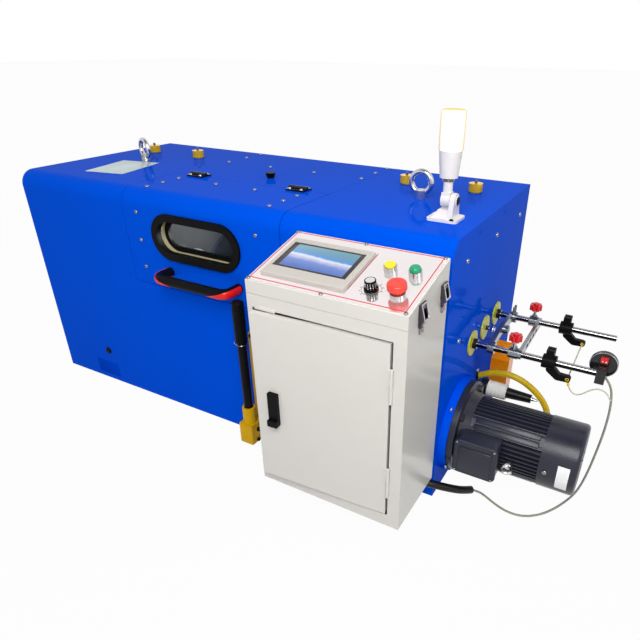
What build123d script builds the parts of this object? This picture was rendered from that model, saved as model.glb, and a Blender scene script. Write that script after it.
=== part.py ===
from build123d import *
import os
from math import atan2, cos, degrees, radians, sin, tan

os.makedirs("parts", exist_ok=True)

# Every size is in millimetres. X runs along the machine towards the motor,
# the front faces minus Y, and Z is up from the floor.

# Housing
machine_length = 1450
machine_depth = 640
machine_height = 700
corner_radius = 45
sheet = 4
end_plate_thickness = 8
base_thickness = 10
seam = 2
overrun = 5
fit_gap = 0.1
seat_gap = 0.3

# Lift-up cover, its lining and its window
cover_width = 550
cover_drop = 275.5
hinge_line = -88
lining_thickness = 30
lining_margin = 14
window_x = -11
window_drop = 118
window_length = 278
window_height = 96
gasket_lap = 18
gasket_proud = 7
gasket_lip = 3
gasket_lip_depth = 10
inner_gasket_lap = 14
inner_gasket_depth = 8
pane_thickness = 6
pane_lap = 12

# Cover handle
handle_x = 3
handle_drop = 223
handle_span = 250
handle_reach = 56.5
handle_radius = 14
handle_bend = 24

# Cover hinges
hinge_x = -7
hinge_inset = 91
hinge_width = 60
leaf_depth = 13
leaf_thickness = 5
leaf_gap = 8
knuckle_radius = 5.5
knuckle_lift = 1
base_knuckle = 28
knuckle_gap = 0.5

# Rubber bumper on the top
bumper_x = 15
bumper_foot_radius = 10
bumper_head_radius = 16
bumper_height = 16

# Lifting eyes
eye_spacing = 1020
eye_collar_radius = 16
eye_collar_height = 22
eye_ring_radius = 27.5
eye_bar_radius = 7.5
eye_sink = 15
left_eye_turn = -18
motor_eye_x = 899
motor_eye_z = 143
motor_eye_boss_radius = 11
motor_eye_boss_face = -273
motor_eye_ring_radius = 13
motor_eye_bar_radius = 4
motor_eye_collar_radius = 9
motor_eye_collar_height = 5

# Grease cups
cup_offset = 105
cup_y = 140
cup_foot_radius = 15
cup_foot_height = 3
cup_radius = 19.5
cup_height = 22
cup_nipple_radius = 4
cup_nipple_height = 8

# Flyer rotor, its bearing walls, the cradle and the bobbin
axis_rise = 17
bearing_wall_x = 400
bearing_wall = 12
bearing_front_gap = 30
bearing_top_gap = 24
bearing_hub_radius = 62
bearing_hub_length = 30
shaft_radius = 35
shaft_length = 66
disc_x = 370
disc_radius = 230
disc_thickness = 14
stub_radius = 25
stub_length = 27
bow_end_radius = 205
bow_middle_radius = 242
bow_thickness = 6
bow_width = 46
cradle_x = 338
cradle_plate = 12
cradle_hub_radius = 48
cradle_socket_depth = 8
cradle_foot_radius = 20
tie_y = 118
tie_drop = 130
tie_radius = 12
bobbin_length = 320
bobbin_flange_radius = 150
bobbin_flange = 12
bobbin_barrel_radius = 68
bobbin_shaft_radius = 15

# Beacon on a folding foot
beacon_x = 641
beacon_y = -155
beacon_foot_width = 76
beacon_foot_depth = 68
beacon_foot_height = 6
beacon_foot_corner = 10
beacon_wedge_width = 54
beacon_wedge_depth = 50
beacon_wedge_top = 24
beacon_waist = 30
beacon_pivot_height = 45
beacon_ear_thickness = 12
beacon_ear_radius = 17
beacon_lug_width = 22
beacon_lug_radius = 16
beacon_lug_gap = 1
beacon_pin_radius = 4
beacon_knob_radius = 11
beacon_knob_length = 3
beacon_neck_radius = 11
beacon_neck_top = 96
beacon_cup_foot_radius = 21
beacon_radius = 26.5
beacon_cup_top = 155
beacon_top = 237
beacon_crown = 6

# Jack lever at the front
lever_x = 161
lever_reach = 50
lever_pivot_z = 45
lever_block_width = 46
lever_block_depth = 48
lever_block_bottom = 14
lever_block_edge = 3
lever_slot = 18
lever_slot_front = 18
lever_slot_rise = 22
lever_tongue_width = 16
lever_tongue_radius = 16
lever_foot_width = 42
lever_foot_height = 32
lever_foot_thickness = 5
lever_pin_radius = 8
lever_socket_bottom = 80
lever_socket_top = 132
lever_socket_radius = 19
lever_rod_radius = 13
lever_grip_radius = 16.5
lever_grip_bottom = 345
lever_top = 466
lever_grip_round = 6
link_x = 166
link_width = 26
link_thickness = 12
link_bottom = 62
link_top = 362
link_bolt_radius = 7
link_bolt_height = 6

# Control console
console_width = 382
console_depth = 204
console_gap = 16
console_bottom = 78
console_seam = 592
console_wall = 3
lid_front_top = 622
lid_back_top = 673
lid_gap = 0.8
bracket_inset = 17
bracket_height = 40
upper_bracket_z = 500
lower_bracket_z = 170
door_opening_left = 13
door_opening_right = 29
door_opening_bottom = 110
door_opening_top = 562
door_gap = 5
door_thickness = 16
door_wall = 2
door_proud = 2
door_ajar = 3
door_hinge_offset = 4.5
door_knuckle_radius = 3.5
door_knuckle_length = 40
door_knuckle_inset = 60
lock_inset = 48
lock_z = 323
lock_width = 25
lock_height = 86
lock_thickness = 10
lock_lip = 8
lock_lip_height = 16
lid_hinge_offset = 4
lid_knuckle_radius = 3.5
lid_knuckle_length = 30
lid_knuckle_inset = 30
lid_leaf_height = 9
latch_front_inset = 60
latch_rear_inset = 29
latch_width = 30
latch_rise = 36
latch_drop = 12
latch_body_rise = 3
latch_base = 4
latch_thickness = 12
latch_relief = 1.5
latch_pocket_width = 14
latch_pocket_height = 20
latch_pocket_rise = 16

# Control panel, measured along the sloping lid
panel_margin = 3
panel_thickness = 2
screen_x = 467.5
screen_v = 100
screen_width = 206
screen_height = 143
screen_thickness = 8
screen_edge = 3
screen_frame_width = 182
screen_frame_height = 97
screen_frame_shift = 5
screen_recess = 2
yellow_x = 626
green_x = 682
back_row_v = 128
knob_x = 619
stop_x = 677
front_row_v = 54
collar_radius = 14.5
collar_height = 12
cap_radius = 12
cap_lift = 6
cap_proud = 3
green_dome = 6
button_gap = 0.3
stop_collar_radius = 16
stop_collar_height = 7
stop_stem_radius = 11
stop_stem_lift = 5
stop_head_radius = 20
stop_head_lift = 16
stop_head_height = 14
stop_head_round = 5
knob_skirt_radius = 15
knob_skirt_height = 4
knob_radius = 12
knob_height = 22
knob_flute_radius = 1.5
knob_flutes = 14

# Wire guide on the right end
rod_spacing = 214
rod_radius = 8.5
rod_end = 1061
flange_radius = 35
flange_thickness = 4
flange_hub_radius = 14
flange_hub_length = 12
nose_radius = 6
nose_length = 26
bridge_x = 770
bridge_thickness = 12
bridge_boss_radius = 16
bridge_boss_length = 18
bridge_height = 22
bridge_rise = 14
bridge_hub_radius = 12
bridge_hub_length = 24
bridge_eye_radius = 4
bridge_pin_radius = 3.5
bridge_pin_height = 18
bridge_pin_spacing = 16
guide_x = 825
guide_boss_radius = 15
guide_boss_length = 24
guide_pad_radius = 8
guide_pad_height = 19
guide_bar = 9
guide_bar_height = 26
guide_slots = 4
guide_slot_pitch = 33
guide_slot_length = 24
guide_slot_width = 10
star_radius = 17
star_lobe_radius = 5
star_lobes = 7
star_core_radius = 12
star_height = 16
star_stem_radius = 4
star_stem_height = 17
star_crown_radius = 8
star_crown_height = 4
clamp_x = 928
clamp_length = 34
clamp_radius = 18
clamp_lug_length = 20
clamp_lug_width = 24
clamp_lug_rise = 36
clamp_split = 5
clamp_split_depth = 12
arm_width = 14
arm_root_radius = 11
arm_root_x = 934
arm_root_drop = 18
arm_elbow_x = 954
arm_elbow_drop = 35
arm_elbow_radius = 9
arm_tip_x = 978
arm_tip_drop = 35
arm_tip_radius = 8
arm_eye_radius = 4
dish_x = 1051
dish_rise = 17
dish_radius = 33
dish_thickness = 10
dish_rim = 4
dish_recess = 5
dish_hub_radius = 9
sensor_block_length = 22
sensor_block_width = 34
sensor_block_drop = 20
sensor_block_rise = 18
sensor_plug_width = 17
sensor_plug_height = 14
sensor_plug_depth = 9
sensor_plug_rise = 12

# Guard, rotary union and hose side of the right end
guard_y = 130
guard_depth = 60
guard_reach = 56
guard_bottom = 90
guard_front_top = 203
guard_back_top = 240
guard_wall = 3
union_y = -26
union_z = 193
union_neck_radius = 14
union_neck_end = 745
union_flange_radius = 24
union_flange_end = 766
union_sleeve_radius = 22.5
union_sleeve_end = 819
union_body_radius = 16
union_body_end = 890
union_nose_radius = 12
union_tip_radius = 6
union_tip_end_radius = 2.5
union_tip_end = 907

# Motor
motor_y = -179
motor_z = 155
motor_boss_radius = 130
motor_standoff = 20
motor_flange_radius = 125
motor_flange_thickness = 16
motor_bolt_circle = 107.5
motor_bolts = 4
motor_bolt_radius = 11
motor_bolt_height = 8
motor_shield_radius = 100
motor_shield_length = 24
motor_core_radius = 80
motor_body_end = 969
motor_fin_count = 10
motor_fin_pitch = 11.5
motor_fin_height = 10
motor_fin_thickness = 3.5
motor_facet_reach = 87
motor_facet_width = 40
cowl_radius = 92
cowl_wall = 3
cowl_end = 1060
cowl_crown = 10
cowl_grille_inner = 22
cowl_grille_outer = 74
cowl_grille_slots = 20
cowl_grille_slot_width = 6
terminal_left = 767
terminal_right = 879
terminal_front = -315
terminal_bottom = 105
terminal_top = 207
terminal_root = -280
terminal_pad_margin = 4
terminal_lid = 8
terminal_lid_gap = 2
terminal_corner = 14
terminal_round = 5

# Cords: the points are chosen along the way each one lies.
hose_radius = 9
hose_route = [
    (725, -15, 215), (747, -15, 228), (775, -15, 242), (813, -15, 247), (850, -14, 239), (885, -13, 220),
    (914, -12, 194), (934, -10, 162), (941, -8, 125), (935, -6.5, 90), (916, -5, 60), (887, -3.5, 39),
    (852, -2, 29), (816, -0.5, 27), (780, 0.5, 30), (752, 1, 35), (725, 1, 40),
]
cable_radius = 3
cable_route = [
    (1062, -97, 355), (1076, -98, 341), (1086, -101, 314), (1091, -104, 268), (1090, -108, 205),
    (1085, -112, 145), (1079, -118, 90), (1071, -128, 45), (1061, -143, 17), (1046, -168, 5),
    (1024, -212, 3.2), (994, -254, 3.2), (957, -280, 3.2), (917, -283, 3.2), (880, -270, 3.4),
    (852, -256, 5), (830, -253, 10), (813, -264, 17),
]
wire_radius = 1.75
wire_route = [
    (981, -107, 324), (984, -107, 311), (993, -107, 297), (1006, -106, 291), (1020, -105, 298),
    (1034, -105, 313), (1052, -105, 324), (1070, -105, 320), (1081, -105.5, 309), (1086, -105.5, 299),
]
conduit_radius = 10.5
conduit_route = [
    (688, -347, 62), (719, -341, 60), (750, -329, 53), (778, -310, 41), (799, -288, 28), (813, -264, 17),
]
elbow_radius = 13
elbow_side = 53
elbow_inset = 11
elbow_drop = 16
elbow_reach = 16
elbow_bend = 15

# Places worked out from the sizes above
half_length = machine_length / 2
inner_half = half_length - end_plate_thickness
axis_z = machine_height / 2 + axis_rise
front_y = -machine_depth / 2
back_y = machine_depth / 2
cover_half = cover_width / 2
cover_bottom = machine_height - cover_drop
window_z = machine_height - window_drop
handle_z = machine_height - handle_drop
hinge_spacing = cover_width - 2 * hinge_inset
bearing_wall_front = front_y + bearing_front_gap
bearing_wall_top = machine_height - bearing_top_gap
opening_half = cover_half + seam
lining_back = front_y + sheet + lining_thickness
knuckle_z = machine_height + knuckle_lift + knuckle_radius
lever_y = front_y - lever_reach
console_right = half_length
console_left = console_right - console_width
console_middle = (console_left + console_right) / 2
console_back = front_y - console_gap
console_front = console_back - console_depth
lid_bottom = console_seam + lid_gap
lid_slope = atan2(lid_back_top - lid_front_top, console_depth)
lid_run = console_depth / cos(lid_slope)
panel_plane = Plane(
    origin=(0, console_front, lid_front_top), x_dir=(1, 0, 0), z_dir=(0, -sin(lid_slope), cos(lid_slope))
)
control_plane = panel_plane.offset(panel_thickness)
rod_y = rod_spacing / 2
arm_root_z = axis_z - arm_root_drop
arm_elbow_z = axis_z - arm_elbow_drop
arm_tip_z = axis_z - arm_tip_drop
dish_z = axis_z + dish_rise
sensor_block_bottom = axis_z - sensor_block_drop
sensor_block_top = axis_z + sensor_block_rise
flange_x = half_length + motor_standoff
terminal_middle = (terminal_left + terminal_right) / 2
terminal_centre_z = (terminal_bottom + terminal_top) / 2


def bent_sheet(low, rear, inset, thickness):
    """Section of a sheet that runs up the front, round the corner and back over the top."""
    front = front_y + inset
    top = machine_height - inset
    with BuildSketch() as section:
        with BuildLine():
            outer = FilletPolyline((front, low), (front, top), (rear, top), radius=corner_radius - inset)
            inner = FilletPolyline(
                (rear, top - thickness),
                (front + thickness, top - thickness),
                (front + thickness, low),
                radius=corner_radius - inset - thickness,
            )
            Line(outer @ 1, inner @ 0)
            Line(inner @ 1, outer @ 0)
        make_face()
    return section.sketch


def end_outline():
    """Outline of an end plate: a rectangle with its upper front corner rounded."""
    with BuildSketch() as outline:
        with Locations((0, machine_height / 2)):
            Rectangle(machine_depth, machine_height)
        fillet(outline.vertices().group_by(Axis.Y)[-1].sort_by(Axis.X)[0], corner_radius)
    return outline.sketch


def cord_radii(points):
    """Largest even bend at each corner of a cord's route."""
    radii = []
    for before, here, after in zip(points, points[1:], points[2:]):
        arriving = Vector(*here) - Vector(*before)
        leaving = Vector(*after) - Vector(*here)
        turn = radians(arriving.get_angle(leaving))
        radii.append(0.45 * min(arriving.length, leaving.length) / tan(turn / 2))
    return radii


def cord(points, radius, name):
    """Round cord along straight runs joined by tangent arcs."""
    radii = cord_radii(points)
    with BuildPart() as tube:
        with BuildLine() as route:
            FilletPolyline(*points, radius=radii)
        with BuildSketch(Plane(origin=route.wires()[0] @ 0, z_dir=route.wires()[0] % 0)):
            Circle(radius)
        sweep(path=route.wires()[0])
    print(name, "length", round(route.wires()[0].length), "radii", [round(r) for r in radii])
    return tube


# Housing: base, bent wrap sheets each side of the cover, flat panels and end plates
with BuildPart() as base_plate:
    with Locations((0, 0, base_thickness / 2)):
        Box(2 * inner_half, machine_depth - 2 * sheet, base_thickness)
base_plate.part.label = "base_plate"
export_step(base_plate.part, "parts/base_plate.step")

with BuildPart() as left_wrap:
    with BuildSketch(Plane.YZ.offset(-inner_half)):
        add(bent_sheet(0, back_y, 0, sheet))
    extrude(amount=inner_half - opening_half)
left_wrap.part.label = "left_wrap"
export_step(left_wrap.part, "parts/left_wrap.step")

with BuildPart() as right_wrap:
    with BuildSketch(Plane.YZ.offset(opening_half)):
        add(bent_sheet(0, back_y, 0, sheet))
    extrude(amount=inner_half - opening_half)
right_wrap.part.label = "right_wrap"
export_step(right_wrap.part, "parts/right_wrap.step")

with BuildPart() as front_lower:
    with BuildSketch(Plane.XY):
        with Locations((0, front_y + sheet / 2)):
            Rectangle(2 * opening_half, sheet)
    extrude(amount=cover_bottom - seam)
front_lower.part.label = "front_lower"
export_step(front_lower.part, "parts/front_lower.step")

with BuildPart() as rear_top:
    with BuildSketch(Plane.XY.offset(machine_height - sheet)):
        with Locations((0, (hinge_line + seam / 2 + back_y) / 2)):
            Rectangle(2 * cover_half + seam, back_y - hinge_line - seam / 2)
    extrude(amount=sheet)
rear_top.part.label = "rear_top"
export_step(rear_top.part, "parts/rear_top.step")

with BuildPart() as back_panel:
    with BuildSketch(Plane.XY):
        with Locations((0, back_y - sheet / 2)):
            Rectangle(2 * inner_half, sheet)
    extrude(amount=machine_height - sheet)
back_panel.part.label = "back_panel"
export_step(back_panel.part, "parts/back_panel.step")

with BuildPart() as end_plate_left:
    with BuildSketch(Plane.YZ.offset(-half_length)):
        add(end_outline())
    extrude(amount=end_plate_thickness)
end_plate_left.part.label = "end_plate_left"
export_step(end_plate_left.part, "parts/end_plate_left.step")

# The right end plate carries a round boss that the motor is bolted to.
with BuildPart() as end_plate_right:
    with BuildSketch(Plane.YZ.offset(inner_half)):
        add(end_outline())
    extrude(amount=end_plate_thickness)
    with BuildSketch(Plane.YZ.offset(half_length)):
        with Locations((motor_y, motor_z)):
            Circle(motor_boss_radius)
    extrude(amount=motor_standoff)
end_plate_right.part.label = "end_plate_right"
export_step(end_plate_right.part, "parts/end_plate_right.step")

# Twisting unit inside: walls with bearings, the flyer, the cradle and the bobbin
with BuildPart() as bearing_walls:
    with BuildSketch(Plane.YZ.offset(bearing_wall_x)):
        with Locations(((bearing_wall_front + back_y - sheet) / 2, (base_thickness + bearing_wall_top) / 2)):
            Rectangle(back_y - sheet - bearing_wall_front, bearing_wall_top - base_thickness)
    extrude(amount=bearing_wall)
    with BuildSketch(Plane.YZ.offset(bearing_wall_x + bearing_wall)):
        with Locations((0, axis_z)):
            Circle(bearing_hub_radius)
    extrude(amount=bearing_hub_length)
    with BuildSketch(Plane.YZ.offset(bearing_wall_x)):
        with Locations((0, axis_z)):
            Circle(shaft_radius + fit_gap)
    extrude(amount=bearing_wall + bearing_hub_length, mode=Mode.SUBTRACT)
    mirror(about=Plane.YZ)
bearing_walls.part.label = "bearing_walls"
export_step(bearing_walls.part, "parts/bearing_walls.step")

with BuildPart() as flyer:
    with BuildSketch(Plane.YZ.offset(disc_x)):
        with Locations((0, axis_z)):
            Circle(disc_radius)
    extrude(amount=disc_thickness)
    with BuildSketch(Plane.YZ.offset(disc_x + disc_thickness)):
        with Locations((0, axis_z)):
            Circle(shaft_radius)
    extrude(amount=shaft_length)
    with BuildSketch(Plane.YZ.offset(disc_x)):
        with Locations((0, axis_z)):
            Circle(stub_radius)
    extrude(amount=-stub_length)
    mirror(about=Plane.YZ)
    bow_end = disc_x + disc_thickness / 2
    for side in (1, -1):
        with BuildSketch(Plane.XZ.offset(-bow_width / 2)):
            with BuildLine():
                outer_bow = ThreePointArc(
                    (-bow_end, axis_z + side * bow_end_radius),
                    (0, axis_z + side * bow_middle_radius),
                    (bow_end, axis_z + side * bow_end_radius),
                )
                inner_bow = ThreePointArc(
                    (bow_end, axis_z + side * (bow_end_radius - bow_thickness)),
                    (0, axis_z + side * (bow_middle_radius - bow_thickness)),
                    (-bow_end, axis_z + side * (bow_end_radius - bow_thickness)),
                )
                Line(outer_bow @ 1, inner_bow @ 0)
                Line(inner_bow @ 1, outer_bow @ 0)
            make_face()
        extrude(amount=bow_width)
flyer.part.label = "flyer"
export_step(flyer.part, "parts/flyer.step")

with BuildPart() as cradle:
    with BuildSketch(Plane.YZ.offset(cradle_x)):
        with Locations((0, axis_z)):
            Circle(cradle_hub_radius)
        with Locations((-tie_y, axis_z - tie_drop), (tie_y, axis_z - tie_drop)):
            Circle(cradle_foot_radius)
        make_hull()
    extrude(amount=cradle_plate)
    with BuildSketch(Plane.YZ.offset(cradle_x + cradle_plate)):
        with Locations((0, axis_z)):
            Circle(stub_radius + fit_gap)
    extrude(amount=-cradle_socket_depth, mode=Mode.SUBTRACT)
    mirror(about=Plane.YZ)
    with BuildSketch(Plane.YZ.offset(-cradle_x)):
        with Locations((-tie_y, axis_z - tie_drop), (tie_y, axis_z - tie_drop)):
            Circle(tie_radius)
    extrude(amount=2 * cradle_x)
cradle.part.label = "cradle"
export_step(cradle.part, "parts/cradle.step")

with BuildPart() as bobbin:
    bobbin_half = bobbin_length / 2
    bobbin_inside = bobbin_half - bobbin_flange
    with BuildSketch(Plane.XZ):
        with BuildLine():
            Polyline(
                (-cradle_x, axis_z),
                (-cradle_x, axis_z + bobbin_shaft_radius),
                (-bobbin_half, axis_z + bobbin_shaft_radius),
                (-bobbin_half, axis_z + bobbin_flange_radius),
                (-bobbin_inside, axis_z + bobbin_flange_radius),
                (-bobbin_inside, axis_z + bobbin_barrel_radius),
                (bobbin_inside, axis_z + bobbin_barrel_radius),
                (bobbin_inside, axis_z + bobbin_flange_radius),
                (bobbin_half, axis_z + bobbin_flange_radius),
                (bobbin_half, axis_z + bobbin_shaft_radius),
                (cradle_x, axis_z + bobbin_shaft_radius),
                (cradle_x, axis_z),
                close=True,
            )
        make_face()
    revolve(axis=Axis((0, 0, axis_z), (1, 0, 0)))
bobbin.part.label = "bobbin"
export_step(bobbin.part, "parts/bobbin.step")

# Lift-up cover: skin, lining, window and handle
with BuildPart() as cover_skin:
    with BuildSketch(Plane.YZ.offset(-cover_half)):
        add(bent_sheet(cover_bottom, hinge_line - seam / 2, 0, sheet))
    extrude(amount=cover_width)
    with BuildSketch(Plane.XZ.offset(-front_y)):
        with Locations((window_x, window_z)):
            SlotOverall(window_length, window_height)
    extrude(amount=-sheet, mode=Mode.SUBTRACT)
cover_skin.part.label = "cover_skin"
export_step(cover_skin.part, "parts/cover_skin.step")

with BuildPart() as cover_lining:
    with BuildSketch(Plane.YZ.offset(lining_margin - cover_half)):
        add(
            bent_sheet(
                cover_bottom + lining_margin, hinge_line - seam / 2 - lining_margin, sheet, lining_thickness
            )
        )
    extrude(amount=cover_width - 2 * lining_margin)
    with BuildSketch(Plane.XZ.offset(-front_y - sheet)):
        with Locations((window_x, window_z)):
            SlotOverall(window_length, window_height)
    extrude(amount=-lining_thickness, mode=Mode.SUBTRACT)
cover_lining.part.label = "cover_lining"
export_step(cover_lining.part, "parts/cover_lining.step")

# Two rubber rings: one over the skin with a lip through its hole, one at the back of the lining's opening.
with BuildPart() as window_gasket:
    with BuildSketch(Plane.XZ.offset(-front_y)):
        with Locations((window_x, window_z)):
            SlotOverall(window_length + 2 * gasket_lap, window_height + 2 * gasket_lap)
            SlotOverall(window_length - 2 * gasket_lip, window_height - 2 * gasket_lip, mode=Mode.SUBTRACT)
    extrude(amount=gasket_proud)
    with BuildSketch(Plane.XZ.offset(-front_y)):
        with Locations((window_x, window_z)):
            SlotOverall(window_length - 2 * seat_gap, window_height - 2 * seat_gap)
            SlotOverall(window_length - 2 * gasket_lip, window_height - 2 * gasket_lip, mode=Mode.SUBTRACT)
    extrude(amount=-gasket_lip_depth)
    with BuildSketch(Plane.XZ.offset(-lining_back)):
        with Locations((window_x, window_z)):
            SlotOverall(window_length - 2 * seat_gap, window_height - 2 * seat_gap)
            SlotOverall(
                window_length - 2 * inner_gasket_lap, window_height - 2 * inner_gasket_lap, mode=Mode.SUBTRACT
            )
    extrude(amount=inner_gasket_depth)
window_gasket.part.label = "window_gasket"
export_step(window_gasket.part, "parts/window_gasket.step")

with BuildPart() as window_pane:
    with BuildSketch(Plane.XZ.offset(-lining_back)):
        with Locations((window_x, window_z)):
            SlotOverall(window_length + 2 * pane_lap, window_height + 2 * pane_lap)
    extrude(amount=-pane_thickness)
window_pane.part.label = "window_pane"
export_step(window_pane.part, "parts/window_pane.step")

with BuildPart() as cover_handle:
    handle_left = handle_x - handle_span / 2
    handle_right = handle_x + handle_span / 2
    with BuildLine(Plane.XY.offset(handle_z)) as handle_path:
        FilletPolyline(
            (handle_left, front_y),
            (handle_left, front_y - handle_reach),
            (handle_right, front_y - handle_reach),
            (handle_right, front_y),
            radius=handle_bend,
        )
    with BuildSketch(Plane.XZ.offset(-front_y)):
        with Locations((handle_left, handle_z)):
            Circle(handle_radius)
    sweep(path=handle_path.wires()[0])
cover_handle.part.label = "cover_handle"
export_step(cover_handle.part, "parts/cover_handle.step")

# Cover hinges: a base leaf behind the seam, a moving leaf in front of it
with BuildPart() as hinge_bases:
    for x in (hinge_x - hinge_spacing / 2, hinge_x + hinge_spacing / 2):
        with BuildSketch(Plane.XY.offset(machine_height)):
            with Locations((x, hinge_line + leaf_gap + leaf_depth / 2)):
                Rectangle(hinge_width, leaf_depth)
        extrude(amount=leaf_thickness)
        with BuildSketch(Plane.XY.offset(machine_height + knuckle_lift)):
            with Locations((x, hinge_line + leaf_gap)):
                Rectangle(base_knuckle, 2 * leaf_gap)
        extrude(amount=leaf_thickness - knuckle_lift)
        with BuildSketch(Plane.YZ.offset(x - base_knuckle / 2)):
            with Locations((hinge_line, knuckle_z)):
                Circle(knuckle_radius)
        extrude(amount=base_knuckle)
hinge_bases.part.label = "hinge_bases"
export_step(hinge_bases.part, "parts/hinge_bases.step")

with BuildPart() as hinge_leaves:
    leaf_knuckle = (hinge_width - base_knuckle) / 2 - knuckle_gap
    for x in (hinge_x - hinge_spacing / 2, hinge_x + hinge_spacing / 2):
        with BuildSketch(Plane.XY.offset(machine_height)):
            with Locations((x, hinge_line - leaf_gap - leaf_depth / 2)):
                Rectangle(hinge_width, leaf_depth)
        extrude(amount=leaf_thickness)
        for start in (x - hinge_width / 2, x + hinge_width / 2 - leaf_knuckle):
            with BuildSketch(Plane.XY.offset(machine_height + knuckle_lift)):
                with Locations((start + leaf_knuckle / 2, hinge_line - leaf_gap)):
                    Rectangle(leaf_knuckle, 2 * leaf_gap)
            extrude(amount=leaf_thickness - knuckle_lift)
            with BuildSketch(Plane.YZ.offset(start)):
                with Locations((hinge_line, knuckle_z)):
                    Circle(knuckle_radius)
            extrude(amount=leaf_knuckle)
hinge_leaves.part.label = "hinge_leaves"
export_step(hinge_leaves.part, "parts/hinge_leaves.step")

# Fittings on the top
with BuildPart() as top_bumper:
    with BuildSketch(Plane.XY.offset(machine_height)):
        with Locations((bumper_x, 0)):
            Circle(bumper_foot_radius)
    with BuildSketch(Plane.XY.offset(machine_height + bumper_height)):
        with Locations((bumper_x, 0)):
            Circle(bumper_head_radius)
    loft()
top_bumper.part.label = "top_bumper"
export_step(top_bumper.part, "parts/top_bumper.step")

# The third, smaller eye is the motor's own.
with BuildPart() as lifting_eyes:
    eye_z = machine_height + eye_collar_height + eye_ring_radius + eye_bar_radius - eye_sink
    for x, turn in ((-eye_spacing / 2, left_eye_turn), (eye_spacing / 2, 0)):
        with BuildSketch(Plane.XY.offset(machine_height)):
            with Locations((x, 0)):
                Circle(eye_collar_radius)
        extrude(amount=eye_collar_height)
        with Locations(Location((x, 0, eye_z), (90, turn, 0))):
            Torus(eye_ring_radius, eye_bar_radius)
    with BuildSketch(Plane.XZ.offset(-motor_eye_boss_face)):
        with Locations((motor_eye_x, motor_eye_z)):
            Circle(motor_eye_collar_radius)
    extrude(amount=motor_eye_collar_height)
    motor_ring_y = motor_eye_boss_face - motor_eye_collar_height - motor_eye_ring_radius
    with Locations((motor_eye_x, motor_ring_y, motor_eye_z)):
        Torus(motor_eye_ring_radius, motor_eye_bar_radius)
lifting_eyes.part.label = "lifting_eyes"
export_step(lifting_eyes.part, "parts/lifting_eyes.step")

with BuildPart() as grease_cups:
    for x in (-eye_spacing / 2, eye_spacing / 2):
        for offset_x in (-cup_offset, cup_offset):
            level = machine_height
            with BuildSketch(Plane.XY.offset(level)):
                with Locations((x + offset_x, cup_y)):
                    Circle(cup_foot_radius)
            extrude(amount=cup_foot_height)
            level = level + cup_foot_height
            with BuildSketch(Plane.XY.offset(level)):
                with Locations((x + offset_x, cup_y)):
                    Circle(cup_radius)
            extrude(amount=cup_height)
            level = level + cup_height
            with BuildSketch(Plane.XY.offset(level)):
                with Locations((x + offset_x, cup_y)):
                    Circle(cup_nipple_radius)
            extrude(amount=cup_nipple_height)
grease_cups.part.label = "grease_cups"
export_step(grease_cups.part, "parts/grease_cups.step")

# Beacon: a wedge foot with one ear, and a lamp on a neck that folds beside it
beacon_pivot_z = machine_height + beacon_pivot_height
beacon_ear_start = beacon_lug_width / 2 + beacon_lug_gap
beacon_lug_rise = beacon_ear_radius + beacon_lug_gap
with BuildPart() as beacon_base:
    with BuildSketch(Plane.XY.offset(machine_height)):
        with Locations((beacon_x, beacon_y)):
            RectangleRounded(beacon_foot_width, beacon_foot_depth, beacon_foot_corner)
    extrude(amount=beacon_foot_height)
    with BuildSketch(Plane.XY.offset(machine_height + beacon_foot_height)):
        with Locations((beacon_x, beacon_y)):
            Rectangle(beacon_wedge_width, beacon_wedge_depth)
    with BuildSketch(Plane.XY.offset(machine_height + beacon_wedge_top)):
        with Locations((beacon_x, beacon_y)):
            Rectangle(beacon_waist, beacon_waist)
    loft()
    with BuildSketch(Plane.YZ.offset(beacon_x + beacon_ear_start)):
        with Locations((beacon_y, beacon_pivot_z)):
            Circle(beacon_ear_radius)
        with Locations((beacon_y, machine_height + beacon_foot_height / 2)):
            Rectangle(beacon_wedge_depth, beacon_foot_height)
        make_hull()
    extrude(amount=beacon_ear_thickness)
    with BuildSketch(Plane.YZ.offset(beacon_x - beacon_lug_width / 2)):
        with Locations((beacon_y, beacon_pivot_z)):
            Circle(beacon_pin_radius)
    extrude(amount=beacon_lug_width / 2 + beacon_ear_start)
    with BuildSketch(Plane.YZ.offset(beacon_x + beacon_ear_start + beacon_ear_thickness)):
        with Locations((beacon_y, beacon_pivot_z)):
            Circle(beacon_knob_radius)
    extrude(amount=beacon_knob_length)
beacon_base.part.label = "beacon_base"
export_step(beacon_base.part, "parts/beacon_base.step")

with BuildPart() as beacon_lamp:
    with BuildSketch(Plane.YZ.offset(beacon_x - beacon_lug_width / 2)):
        with Locations((beacon_y, beacon_pivot_z)):
            Circle(beacon_lug_radius)
        with Locations((beacon_y, beacon_pivot_z + beacon_lug_rise / 2)):
            Rectangle(2 * beacon_neck_radius, beacon_lug_rise)
        with Locations((beacon_y, beacon_pivot_z)):
            Circle(beacon_pin_radius + fit_gap, mode=Mode.SUBTRACT)
    extrude(amount=beacon_lug_width)
    with BuildSketch(Plane.XZ.offset(-beacon_y)):
        with BuildLine():
            Polyline(
                (beacon_x, beacon_pivot_z + beacon_lug_rise),
                (beacon_x + beacon_neck_radius, beacon_pivot_z + beacon_lug_rise),
                (beacon_x + beacon_neck_radius, machine_height + beacon_neck_top),
                (beacon_x + beacon_cup_foot_radius, machine_height + beacon_neck_top),
                (beacon_x + beacon_radius, machine_height + beacon_cup_top),
                (beacon_x + beacon_radius, machine_height + beacon_top - beacon_crown),
                (beacon_x + beacon_radius - beacon_crown, machine_height + beacon_top),
                (beacon_x, machine_height + beacon_top),
                close=True,
            )
        make_face()
    revolve(axis=Axis((beacon_x, beacon_y, 0), (0, 0, 1)))
beacon_lamp.part.label = "beacon_lamp"
export_step(beacon_lamp.part, "parts/beacon_lamp.step")

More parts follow.
